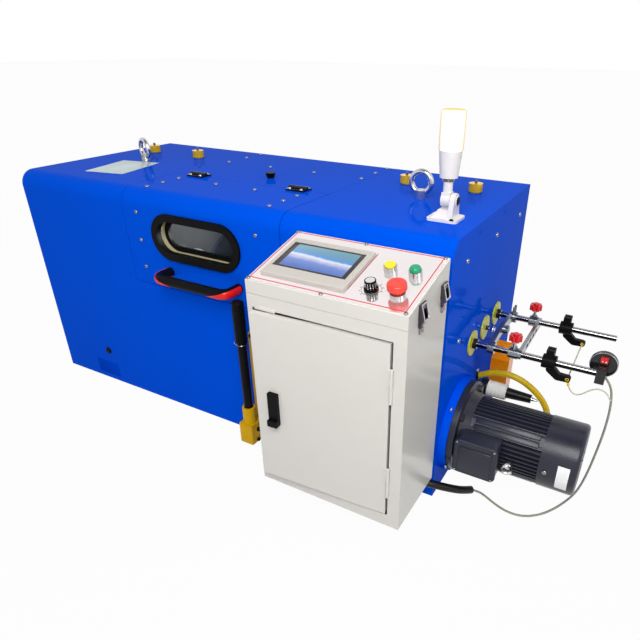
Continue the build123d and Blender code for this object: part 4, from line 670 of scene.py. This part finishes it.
for latch_y in LATCH_YS:
    for side in (-BAIL_HALF, BAIL_HALF):
        leg = block((BAIL_WIRE, BAIL_WIRE, LATCH_SLOPE.length), BAIL_ROUND)
        bails.append(stand(leg, (BAIL_X, latch_y + side, BAIL_Z), LATCH_SLOPE))
    for bar_x, bar_z in BAIL_ENDS:
        bar = block((BAIL_WIRE, 2 * BAIL_HALF + BAIL_WIRE, BAIL_WIRE), BAIL_ROUND)
        bails.append(stand(bar, (bar_x, latch_y, bar_z)))
settle(joined(bails), "latch_bails", "lid", chrome)
catch = block(CATCH_SIZE, 0.001)
catches = [(CATCH_X, latch_y, CATCH_Z) for latch_y in LATCH_YS]
latch_plate = finish("catch_grey", (0.30, 0.30, 0.31), 0.25, metallic=0.9, tone=0.15, tone_scale=60)
settle(set_out(catch, catches), "latch_catches", "frame", latch_plate)


# The control panel: a brushed aluminium plate screwed on the sloping lid, printed with a red border
# line and a divider between the touch panel and the buttons.
brushed_panel = finish(
    "brushed_panel", (0.86, 0.80, 0.80), 0.12, metallic=0.85, tone=0.04, tone_scale=6,
    Specular_IOR_Level=0.3,
)
dress(brushed_panel, "control_panel")
DESK_ANGLE, DESK_FRONT_Y, DESK_FRONT_Z, PANEL_THICK = math.radians(14.04), -0.540, 0.622, 0.002
UP_DESK = Vector((0, math.cos(DESK_ANGLE), math.sin(DESK_ANGLE)))
DESK_NORMAL = Vector((0, -math.sin(DESK_ANGLE), math.cos(DESK_ANGLE)))
desk_front = Vector((0, DESK_FRONT_Y, DESK_FRONT_Z)) + DESK_NORMAL * PANEL_THICK


def on_desk(x, up, lift=0.0):
    """A place on the sloping control panel: x across, up the slope from its front edge."""
    return desk_front + Vector((x, 0, 0)) + UP_DESK * up + DESK_NORMAL * lift


def desk_strip(x0, up0, x1, up1, width, thick=0.0004):
    """A thin line printed on the panel from one place to another."""
    length = math.hypot(x1 - x0, up1 - up0)
    strip = block((length + width, width, thick), thick * 0.2, 1)
    turn = Matrix.Rotation(DESK_ANGLE, 4, "X") @ Matrix.Rotation(math.atan2(up1 - up0, x1 - x0), 4, "Z")
    strip.data.transform(Matrix.Translation(on_desk((x0 + x1) / 2, (up0 + up1) / 2, thick / 2)) @ turn)
    return strip


BORDER_LEFT, BORDER_FRONT, BORDER_RIGHT, BORDER_BACK, BORDER_WIDTH = 0.3495, 0.011, 0.714, 0.203, 0.0022
corners = [
    (BORDER_LEFT, BORDER_FRONT), (BORDER_RIGHT, BORDER_FRONT),
    (BORDER_RIGHT, BORDER_BACK), (BORDER_LEFT, BORDER_BACK),
]
DIVIDER_X, DIVIDER_FRONT, DIVIDER_BACK, DIVIDER_WIDTH = 0.5735, 0.04, 0.175, 0.0018
PANEL_SCREW_COLUMNS, PANEL_SCREW_ROWS = (0.3485, 0.530, 0.7165), (0.006, 0.2035)
red_line = finish("red_line", (0.62, 0.015, 0.03), 0.35, tone=0.1, tone_scale=30)
sides = zip(corners, corners[1:] + corners[:1])
border = joined([desk_strip(*start, *end, BORDER_WIDTH) for start, end in sides])
settle(border, "panel_border", "lid", red_line)
dark_red_line = finish("dark_red_line", (0.34, 0.02, 0.02), 0.35, tone=0.1, tone_scale=30)
divider = desk_strip(DIVIDER_X, DIVIDER_FRONT, DIVIDER_X, DIVIDER_BACK, DIVIDER_WIDTH)
settle(divider, "panel_divider", "lid", dark_red_line)
panel_places = [on_desk(x, up) for x in PANEL_SCREW_COLUMNS for up in PANEL_SCREW_ROWS]
panel_screws = set_out(button_screw(0.8), panel_places, DESK_NORMAL)
settle(panel_screws, "panel_screws", "lid", polished_steel)


# The touch panel: a beige-grey moulded bezel with a dark brown mask and a lit glass screen set in it.
# The screen glows in plain slanting bands of blue and white.
SCREEN_MIDDLE, SCREEN_UP, SCREEN_WIDTH, SCREEN_HEIGHT, SCREEN_LIFT = 0.4687, 0.1057, 0.157, 0.085, 0.0071
SCREEN_LEAN, SCREEN_BLUR = 0.7, 0.12
MASK_SIZE, MASK_MIDDLE, MASK_UP, MASK_LIFT = (0.183, 0.098, 0.0008), 0.4675, 0.105, 0.0064
touch_bezel = finish(
    "touch_bezel", (0.52, 0.49, 0.45), 0.3, metallic=0.2, tone=0.03, Specular_IOR_Level=0.3
)
dress(touch_bezel, "touch_panel")
mask = stand(block(MASK_SIZE, 0.0003), on_desk(MASK_MIDDLE, MASK_UP, MASK_LIFT), DESK_NORMAL)
mask_brown = finish(
    "mask_brown", (0.035, 0.026, 0.024), 0.2, tone=0.2, tone_scale=30, Specular_IOR_Level=0.3
)
settle(mask, "screen_mask", "lid", mask_brown)
screen, screen_tree, screen_shader = bare_finish("lit_screen")
screen_shader.inputs["Base Color"].default_value = (0.01, 0.01, 0.012, 1)
screen_shader.inputs["Roughness"].default_value = 0.12
screen_shader.inputs["Specular IOR Level"].default_value = 0.2
screen_shader.inputs["Emission Strength"].default_value = 0.85
screen_place = coordinates(screen_tree)
screen_foot = DESK_FRONT_Y + (SCREEN_UP - SCREEN_HEIGHT / 2) * math.cos(DESK_ANGLE)
screen_up = (screen_place.axis("Y") - screen_foot) * (1 / math.cos(DESK_ANGLE) / SCREEN_HEIGHT)
screen_cloud = screen_place.node(
    "ShaderNodeTexNoise", None, {"Vector": screen_place, "Scale": 55, "Detail": 3}
)
screen_slant = (screen_place.axis("X") - SCREEN_MIDDLE) * SCREEN_LEAN
screen_tilt = screen_up + screen_slant + (screen_cloud - 0.5) * SCREEN_BLUR
screen_bands = [
    (0.0, (0.12, 0.22, 0.62, 1)), (0.28, (0.22, 0.34, 0.80, 1)), (0.44, (0.72, 0.74, 0.95, 1)),
    (0.50, (0.95, 0.98, 1.0, 1)), (0.56, (0.10, 0.38, 0.95, 1)), (0.68, (0.16, 0.36, 0.60, 1)),
    (1.0, (0.16, 0.40, 0.46, 1)),
]
screen_tilt.node("ShaderNodeValToRGB", {"stops": screen_bands}, {0: screen_tilt}).into("Emission Color")
glass = block((SCREEN_WIDTH, SCREEN_HEIGHT, 0.0006), 0.0002)
stand(glass, on_desk(SCREEN_MIDDLE, SCREEN_UP, SCREEN_LIFT), DESK_NORMAL)
settle(glass, "screen_glass", "lid", screen)


# The operating row: push buttons of moulded plastic in chrome collars, a red stop mushroom, and a
# fluted black knob with a silver disc on top over a printed dial.
KNOB_X, KNOB_UP, KNOB_HEIGHT, KNOB_FLUTE_HIGHLIGHTS, FLUTE_HIGHLIGHT_RADIUS, FLUTE_HIGHLIGHT_MIDDLE = 0.619, 0.054, 0.022, 14, 0.0119, 0.0125
POINTER_REACH, POINTER_LIFT, STOP_X, STOP_UP, STOP_SKIRT_FOOT = 0.0128, 0.0043, 0.677, 0.054, 0.0114
DIAL_RADIUS, DIAL_WIRE, DIAL_LIFT = 0.0205, 0.0003, 0.0001
MARK_START, MARK_END, MARK_WIDTH, MARK_COUNT, MARK_FIRST, MARK_STEP = 0.0225, 0.0250, 0.0009, 11, -60, 30
dress(chrome, "button_collars")
dress(finish("yellow_cap", (0.80, 0.66, 0.01), 0.3, tone=0.06, tone_scale=60), "yellow_button")
dress(finish("green_cap", (0.003, 0.30, 0.14), 0.16, tone=0.10, tone_scale=60), "green_button")
stop_red = finish("stop_red", (0.78, 0.045, 0.03), 0.28, tone=0.08, tone_scale=40)
dress(stop_red, "stop_button")
dress(black_plastic, "speed_knob")
stop_skirt = turned([(0, 0.0140), (0.0045, 0.0168), (0.0060, 0.0186)])
stand(stop_skirt, on_desk(STOP_X, STOP_UP, STOP_SKIRT_FOOT), DESK_NORMAL)
settle(stop_skirt, "stop_skirt", "stop_head", stop_red)
knob_disc = turned([(0, 0.0096), (0.0005, 0.0096), (0.0008, 0.0090), (0.0006, 0.0084), (0.0006, 0.0030)])
silver_disc_and_flute_highlights = finish("silver_disc_and_flute_highlights", (0.70, 0.70, 0.71), 0.22, metallic=0.8, tone=0.05, tone_scale=60)
settle(
    stand(knob_disc, on_desk(KNOB_X, KNOB_UP, KNOB_HEIGHT), DESK_NORMAL),
    "knob_disc", "dial", silver_disc_and_flute_highlights,
)
# Thin silver strips on the knob's flutes are painted highlights along the flutes' tops; the knob itself is
# black.
knob_flute_highlight = block((0.0007, 0.0012, 0.0150), 0.0003)
flute_highlights = []
for step in range(KNOB_FLUTE_HIGHLIGHTS):
    turn = math.radians(360 / KNOB_FLUTE_HIGHLIGHTS * (step + 0.5))
    flute_highlight = bpy.data.objects.new("flute_highlight", knob_flute_highlight.data.copy())
    bpy.context.scene.collection.objects.link(flute_highlight)
    flute_highlight.data.transform(Matrix.Rotation(turn, 4, "Z") @ Matrix.Translation((FLUTE_HIGHLIGHT_RADIUS, 0, FLUTE_HIGHLIGHT_MIDDLE)))
    flute_highlights.append(stand(flute_highlight, on_desk(KNOB_X, KNOB_UP), DESK_NORMAL))
bpy.data.objects.remove(knob_flute_highlight)
settle(joined(flute_highlights), "knob_flute_highlights", "dial", silver_disc_and_flute_highlights)
pointer = block((0.004, 0.0016, 0.0008), 0.0003)
stand(pointer, on_desk(KNOB_X + POINTER_REACH, KNOB_UP, POINTER_LIFT), DESK_NORMAL)
settle(pointer, "knob_pointer", "dial", cap_red)
dial_line = stand(wire_ring(DIAL_RADIUS, DIAL_WIRE), on_desk(KNOB_X, KNOB_UP, DIAL_LIFT), DESK_NORMAL)
marks = [dial_line]
for step in range(MARK_COUNT):
    turn = math.radians(MARK_FIRST + MARK_STEP * step)
    along, across = math.cos(turn), math.sin(turn)
    inner = (KNOB_X + MARK_START * along, KNOB_UP + MARK_START * across)
    outer = (KNOB_X + MARK_END * along, KNOB_UP + MARK_END * across)
    marks.append(desk_strip(*inner, *outer, MARK_WIDTH))
settle(joined(marks), "dial_marks", "lid", black_plastic)


# The wire guide on the right end: yellow-green discs with dark bushes, two polished rods, a bridge and a
# slotted bar held by red star knobs. Two arms on clamps carry a taut twisted wire through their eyes. A
# dark band along the rods' sides is a painted reflection, coloured by height.
HUB_FACE, NOSE_START, NOSE_HALF, NOSE_FACE, STAR_FOOT = 0.7295, 0.738, 0.02, 0.742, 0.4035
EYE_X, EYE_Y, EYE_Z = 0.978, 0.107, 0.3295
EYELET_RADIUS, EYELET_WIRE, EYELET_Z, EYELET_FRONT = 0.0036, 0.0012, 0.332, 0.0068
ROD_RADIUS, ROD_Z, ROD_CHAMFER, ROD_REFLECTION_BAND_LOW, ROD_REFLECTION_BAND_HIGH = 0.0085, 0.367, 0.0008, 0.0038, 0.0040
disc_yellow = finish(
    "disc_yellow", (0.52, 0.52, 0.01), 0.35, tone=0.08, tone_scale=30,
    zones=[((("X", HUB_FACE, 1.0),), (0.02, 0.02, 0.022), 0.25, 0.6),
           ((("X", NOSE_START, 1.0), ("Y", -NOSE_HALF, NOSE_HALF)), (0.62, 0.60, 0.58), 0.12, 1.0)],
)
dress(disc_yellow, "wire_discs")
rod_low, rod_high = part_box("guide_rods")
rod_length = rod_high.x - rod_low.x
rod = turned(
    [(0, ROD_RADIUS - ROD_CHAMFER), (ROD_CHAMFER, ROD_RADIUS),
     (rod_length - ROD_CHAMFER, ROD_RADIUS), (rod_length, ROD_RADIUS - ROD_CHAMFER)],
    sides=64,
)
rods = set_out(rod, [(rod_low.x, -EYE_Y, ROD_Z), (rod_low.x, EYE_Y, ROD_Z)], (1, 0, 0))
# The dark zone round the rods' middle height is a painted reflection, not a colour of the steel.
polished_rod = finish(
    "polished_rod", (0.36, 0.36, 0.37), 0.2, metallic=1.0, tone=0.05,
    zones=[((("Z", ROD_Z - ROD_REFLECTION_BAND_LOW, ROD_Z + ROD_REFLECTION_BAND_HIGH),), (0.014, 0.014, 0.02), 0.2, 1.0)],
)
settle(rods, "polished_rods", "frame", polished_rod)
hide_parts("guide_rods")
bright_bar = finish("bright_bar", (0.24, 0.25, 0.27), 0.2, metallic=0.95, tone=0.15, tone_scale=40)
dress(bright_bar, "rod_bridge", "slotted_bar")
star_red = finish(
    "star_red", (0.64, 0.004, 0.008), 0.2, tone=0.08,
    zones=[((("Z", 0.0, STAR_FOOT),), (0.5, 0.5, 0.5), 0.2, 1.0)],
)
dress(star_red, "star_knobs")
nose_nut = turned(
    [(0, 0.0085), (0.0012, 0.0095), (0.0075, 0.0095), (0.0088, 0.0080), (0.0088, 0.0045)], sides=6
)
settle(stand(nose_nut, (NOSE_FACE, 0, ROD_Z), (1, 0, 0)), "disc_nose_nut", "frame", chrome)
STRAND, TWIST_PITCH, TWIST_STEPS, TWIST_WIDE, TWIST_THIN = 0.0013, 0.0085, 8, 1.7, 0.95
bpy.ops.object.select_all(action="DESELECT")
bpy.ops.mesh.primitive_circle_add(vertices=10, radius=STRAND, fill_type="NGON")
twisted = bpy.context.object
edit_all()
bpy.ops.transform.resize(value=(TWIST_WIDE, TWIST_THIN, 1))
lay_steps = round(2 * EYE_Y / TWIST_PITCH * TWIST_STEPS)
lay_rise = 2 * EYE_Y / lay_steps
for step in range(lay_steps):
    bpy.ops.mesh.extrude_region_move(TRANSFORM_OT_translate={"value": (0, 0, lay_rise)})
    bpy.ops.transform.rotate(
        value=2 * math.pi / TWIST_STEPS, orient_axis="Z", center_override=(0, 0, lay_rise * (step + 1))
    )
bpy.ops.object.mode_set(mode="OBJECT")
pale_wire = finish("pale_wire", (0.62, 0.56, 0.36), 0.4, tone=0.35, tone_scale=160)
settle(stand(twisted, (EYE_X, -EYE_Y, EYE_Z), (0, 1, 0)), "taut_wire", "frame", pale_wire)
eyelet_places = [(EYE_X, arm_y - EYELET_FRONT, EYELET_Z) for arm_y in (-EYE_Y, EYE_Y)]
eyelets = set_out(wire_ring(EYELET_RADIUS, EYELET_WIRE), eyelet_places, (0, -1, 0))
settle(eyelets, "arm_eyelets", "frame", cup_brass)


# The sensor: a spun dark dish with a bright rim on the front rod's end, with a black clamp block and
# a red plug held by two terminal screws.
DISH_X, DISH_Z, DISH_FACE, CLAMP_TOP = 1.051, 0.384, -0.090, 0.3856
RIM_RADIUS, RIM_WIRE, RIM_PROUD, CLAMP_PROUD = 0.0315, 0.0013, 0.0004, 0.0002
PLUG_LEFT, PLUG_RIGHT, PLUG_BACK, PLUG_LOW, PLUG_HIGH = 1.0424, 1.0596, -0.0852, 0.3888, 0.4032
TERMINAL_XS, TERMINAL_Y, TERMINAL_Z = (1.0470, 1.0550), -0.0941, 0.3935
dish_dark = finish(
    "dish_dark", (0.035, 0.035, 0.036), 0.22, metallic=0.7, tone=0.2, tone_scale=50,
    zones=[((("Y", -1.0, DISH_FACE - CLAMP_PROUD), ("Z", 0.0, CLAMP_TOP)),
            (0.006, 0.006, 0.006), 0.35, 0.0),
           ((("X", PLUG_LEFT, PLUG_RIGHT), ("Y", -1.0, PLUG_BACK), ("Z", PLUG_LOW, PLUG_HIGH)),
            (0.72, 0.02, 0.02), 0.3, 0.0)],
)
dress(dish_dark, "sensor_dish")
rim = wire_ring(RIM_RADIUS, RIM_WIRE, steps=64)
stand(rim, (DISH_X, DISH_FACE - RIM_PROUD, DISH_Z), (0, -1, 0))
settle(rim, "dish_rim", "frame", chrome)
terminal_places = [(x, TERMINAL_Y, TERMINAL_Z) for x in TERMINAL_XS]
terminals = set_out(button_screw(0.5), terminal_places, (0, -1, 0))
settle(terminals, "sensor_terminals", "frame", chrome)


# Under the rods: an orange painted guard box and the rotary union, a black flange and tapered body
# with a ribbed white sleeve and a bright tip.
UNION_Y, UNION_Z, SLEEVE_START, SLEEVE_END, TIP_START = -0.026, 0.193, 0.7655, 0.8195, 0.8895
SLEEVE_RIB_XS, SLEEVE_RIB_RADIUS, SLEEVE_RIB_WIRE = (0.774, 0.785, 0.796, 0.807), 0.0222, 0.0009
orange_paint = finish(
    "orange_paint", (1.0, 0.29, 0.001), 0.14, tone=0.07, tone_scale=12, Specular_IOR_Level=0.2
)
dress(orange_paint, "guard_box")
union_black = finish(
    "union_black", (0.006, 0.006, 0.007), 0.35, tone=0.2, tone_scale=40, Specular_IOR_Level=0.2,
    zones=[((("X", SLEEVE_START, SLEEVE_END),), (0.72, 0.70, 0.66), 0.5, 0.0),
           ((("X", TIP_START, 1.0),), (0.5, 0.5, 0.52), 0.15, 1.0)],
)
dress(union_black, "rotary_union")
rib_places = [(x, UNION_Y, UNION_Z) for x in SLEEVE_RIB_XS]
sleeve_white = finish("sleeve_white", (0.78, 0.75, 0.70), 0.5, tone=0.08, tone_scale=40)
sleeve_ribs = set_out(wire_ring(SLEEVE_RIB_RADIUS, SLEEVE_RIB_WIRE), rib_places, (1, 0, 0))
settle(sleeve_ribs, "union_sleeve_ribs", "frame", sleeve_white)


# The motor: cast aluminium with cooling fins and two low pads on each facet, a pressed fan cowl and a
# terminal box, all sprayed dark slate. A blank white label is stuck on the cowl, and the box's lid has a
# raised panel and is screwed on at its corners.
MOTOR_Y, MOTOR_Z, COWL_RADIUS, COWL_SCREW_X, COWL_SCREW_Z = -0.179, 0.155, 0.092, 0.986, 0.156
FACETS, FACET_REACH, PAD_MIDDLE_X, PAD_STEP, PAD_SIZE = 4, 0.0872, 0.877, 0.0096, (0.166, 0.0165, 0.0056)
LID_X, LID_FACE, LID_Z, LID_SCREW_X, LID_SCREW_Z = 0.823, -0.315, 0.156, 0.0475, 0.0435
LID_PANEL_SIZE, LID_PANEL_DROP = (0.084, 0.0076, 0.072), 0.002
LABEL_START, LABEL_END, LABEL_SPAN, LABEL_MIDDLE = 1.014, 1.042, 45, 183.5
LABEL_THICK, LABEL_LIFT = 0.0006, 0.0004
motor_paint = finish(
    "motor_paint", (0.018, 0.019, 0.032), 0.30, tone=0.16, tone_scale=18, grain=260, grain_depth=0.00015,
    Specular_IOR_Level=0.36,
)
dress(motor_paint, "motor_body", "motor_cowl", "terminal_box")
facet_pads = []
for facet in range(FACETS):
    on_axis = Matrix.Translation((PAD_MIDDLE_X, MOTOR_Y, MOTOR_Z))
    facet_turn = Matrix.Rotation(math.radians(45 + 360 / FACETS * facet), 4, "X")
    for side in (-PAD_STEP, PAD_STEP):
        facet_pad = block(PAD_SIZE, 0.0024)
        facet_pad.data.transform(on_axis @ facet_turn @ Matrix.Translation((0, side, FACET_REACH)))
        facet_pads.append(facet_pad)
settle(joined(facet_pads), "motor_facet_pads", "frame", motor_paint)
lid_panel = stand(block(LID_PANEL_SIZE, 0.0032, 3), (LID_X, LID_FACE, LID_Z - LID_PANEL_DROP))
settle(lid_panel, "terminal_lid_panel", "frame", motor_paint)
lid_corners = [
    (LID_X + x, LID_FACE, LID_Z + z)
    for x in (-LID_SCREW_X, LID_SCREW_X) for z in (-LID_SCREW_Z, LID_SCREW_Z)
]
lid_screws = set_out(button_screw(0.6), lid_corners, (0, -1, 0))
settle(lid_screws, "terminal_lid_screws", "frame", polished_steel)
label = arc_edge(COWL_RADIUS + LABEL_LIFT, -LABEL_SPAN / 2, LABEL_SPAN / 2, 360)
bpy.ops.mesh.extrude_region_move(TRANSFORM_OT_translate={"value": (0, 0, LABEL_END - LABEL_START)})
thickened(label, LABEL_THICK)
along_motor = Matrix(((0, 0, 1, LABEL_START), (1, 0, 0, MOTOR_Y), (0, 1, 0, MOTOR_Z), (0, 0, 0, 1)))
label.data.transform(along_motor @ Matrix.Rotation(math.radians(LABEL_MIDDLE), 4, "Z"))
label_white = finish("label_white", (0.86, 0.86, 0.87), 0.4, tone=0.03, tone_scale=40)
settle(label, "cowl_label", "frame", label_white)
cowl_screw = stand(button_screw(1.1), (COWL_SCREW_X, MOTOR_Y - COWL_RADIUS, COWL_SCREW_Z), (0, -1, 0))
settle(cowl_screw, "cowl_screw", "frame", polished_steel)


# Cords: a hose, a cable, a wire and a conduit, all with a plastic skin. Each is a smooth line that has the
# points of its CAD tube's route, in metres, as its control points.
def cord_line(name, points, radius):
    """A round cord: one smooth open NURBS line with a bevel."""
    curve = bpy.data.curves.new(name, "CURVE")
    curve.dimensions = "3D"
    curve.resolution_u = 12
    curve.bevel_depth = radius
    curve.bevel_resolution = 5
    curve.use_fill_caps = True
    line = curve.splines.new("NURBS")
    line.points.add(len(points) - 1)
    for control, point in zip(line.points, points):
        control.co = (*point, 1)
    line.use_endpoint_u = True
    line.order_u = 3
    piece = bpy.data.objects.new(name, curve)
    bpy.context.scene.collection.objects.link(piece)
    return piece


# Air hose: soft yellow tube looping from the end plate over the rotary union and back low down. It is
# pushed into a black fitting at each end.
HOSE_ROUTE = [
    (0.725, -0.015, 0.215), (0.747, -0.015, 0.228), (0.775, -0.015, 0.242), (0.813, -0.015, 0.247),
    (0.85, -0.014, 0.239), (0.885, -0.013, 0.22), (0.914, -0.012, 0.194), (0.934, -0.01, 0.162),
    (0.941, -0.008, 0.125), (0.935, -0.0065, 0.09), (0.916, -0.005, 0.06), (0.887, -0.0035, 0.039),
    (0.852, -0.002, 0.029), (0.816, -0.0005, 0.027), (0.78, 0.0005, 0.03), (0.752, 0.001, 0.035),
    (0.725, 0.001, 0.04),
]
HOSE_RADIUS = 0.009
hose = cord_line("yellow_air_hose", HOSE_ROUTE, HOSE_RADIUS)
hose.data.materials.append(
    finish("yellow_hose", (0.62, 0.42, 0.004), 0.2, tone=0.2, tone_scale=14, Specular_IOR_Level=0.35)
)
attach(hose, "frame")
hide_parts("air_hose")
FITTING_PLACES = [(0.725, -0.015, 0.2155), (0.725, 0.001, 0.040)]
fitting = turned([(0, 0.0118), (0.005, 0.0118), (0.007, 0.0108)], sides=24)
fittings = set_out(fitting, FITTING_PLACES, (1, 0, 0))
settle(fittings, "hose_fittings", "frame", black_plastic)

# Sensor cable: a thin grey two-core cable with a yellow stripe that hangs from the sensor, crosses the
# floor and enters the conduit.
CABLE_ROUTE = [
    (1.062, -0.097, 0.355), (1.076, -0.098, 0.341), (1.086, -0.101, 0.314), (1.091, -0.104, 0.268),
    (1.09, -0.108, 0.205), (1.085, -0.112, 0.145), (1.079, -0.118, 0.09), (1.071, -0.128, 0.045),
    (1.061, -0.143, 0.017), (1.046, -0.168, 0.005), (1.024, -0.212, 0.0032), (0.994, -0.254, 0.0032),
    (0.957, -0.28, 0.0032), (0.917, -0.283, 0.0032), (0.88, -0.27, 0.0034), (0.852, -0.256, 0.005),
    (0.83, -0.253, 0.01), (0.813, -0.264, 0.017),
]
STRIPE_START, STRIPE_END = 0.08, 0.26


def striped_cord(name, colour, stripe_colour, roughness):
    """A cord's plastic skin with one coloured stripe along it, from the cord's own UV map."""
    material = finish(name, colour, roughness, tone=0.2, tone_scale=40, Specular_IOR_Level=0.3)
    tree = material.node_tree
    round_cord = coordinates(tree, "UV").axis("Y")
    stripe = (round_cord > STRIPE_START) * (round_cord < STRIPE_END)
    skin = Flow(tree, tree.nodes["Principled BSDF"].inputs["Base Color"].links[0].from_socket)
    stripe.blend(skin, (*stripe_colour, 1)).into("Base Color")
    return material


CABLE_RADIUS = 0.003
cable = cord_line("grey_sensor_cable", CABLE_ROUTE, CABLE_RADIUS)
cable.data.materials.append(striped_cord("grey_cable", (0.26, 0.26, 0.25), (0.62, 0.58, 0.18), 0.4))
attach(cable, "frame")
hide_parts("sensor_cable")

# Twin wire: two thin cores in a pale skin from the front wire eye, sagging across to the sensor cable.
# A yellow sleeve covers its joint at the eye.
WIRE_ROUTE = [
    (0.981, -0.107, 0.324), (0.984, -0.107, 0.311), (0.993, -0.107, 0.297), (1.006, -0.106, 0.291),
    (1.02, -0.105, 0.298), (1.034, -0.105, 0.313), (1.052, -0.105, 0.324), (1.07, -0.105, 0.32),
    (1.081, -0.1055, 0.309), (1.086, -0.1055, 0.299),
]
WIRE_RADIUS = 0.00175
wire = cord_line("twin_core_wire", WIRE_ROUTE, WIRE_RADIUS)
wire.data.materials.append(striped_cord("pale_twin_wire", (0.55, 0.55, 0.50), (0.66, 0.60, 0.10), 0.4))
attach(wire, "frame")
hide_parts("twin_wire")
WIRE_SLEEVE_PLACE, WIRE_SLEEVE_WAY = (0.9808, -0.107, 0.3245), (0.22, 0, -0.975)
sleeve = turned([(0, 0.0026), (0.001, 0.0031), (0.011, 0.0031), (0.013, 0.0024)], sides=20)
sleeve_yellow = finish("sleeve_yellow", (0.82, 0.58, 0.004), 0.3, tone=0.08, tone_scale=90)
stand(sleeve, WIRE_SLEEVE_PLACE, WIRE_SLEEVE_WAY)
settle(sleeve, "wire_sleeve", "frame", sleeve_yellow)

# Conduit: black flexible plastic tube from the elbow under the console to the floor, cut off square
# where the sensor cable comes out.
CONDUIT_ROUTE = [
    (0.688, -0.347, 0.062), (0.719, -0.341, 0.06), (0.75, -0.329, 0.053), (0.778, -0.31, 0.041),
    (0.799, -0.288, 0.028), (0.813, -0.264, 0.017),
]
CONDUIT_RADIUS = 0.0105
conduit = cord_line("black_conduit", CONDUIT_ROUTE, CONDUIT_RADIUS)
conduit.data.materials.append(
    finish("conduit_black", (0.006, 0.006, 0.007), 0.32, tone=0.3, tone_scale=40, Specular_IOR_Level=0.25)
)
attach(conduit, "frame")
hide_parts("conduit")
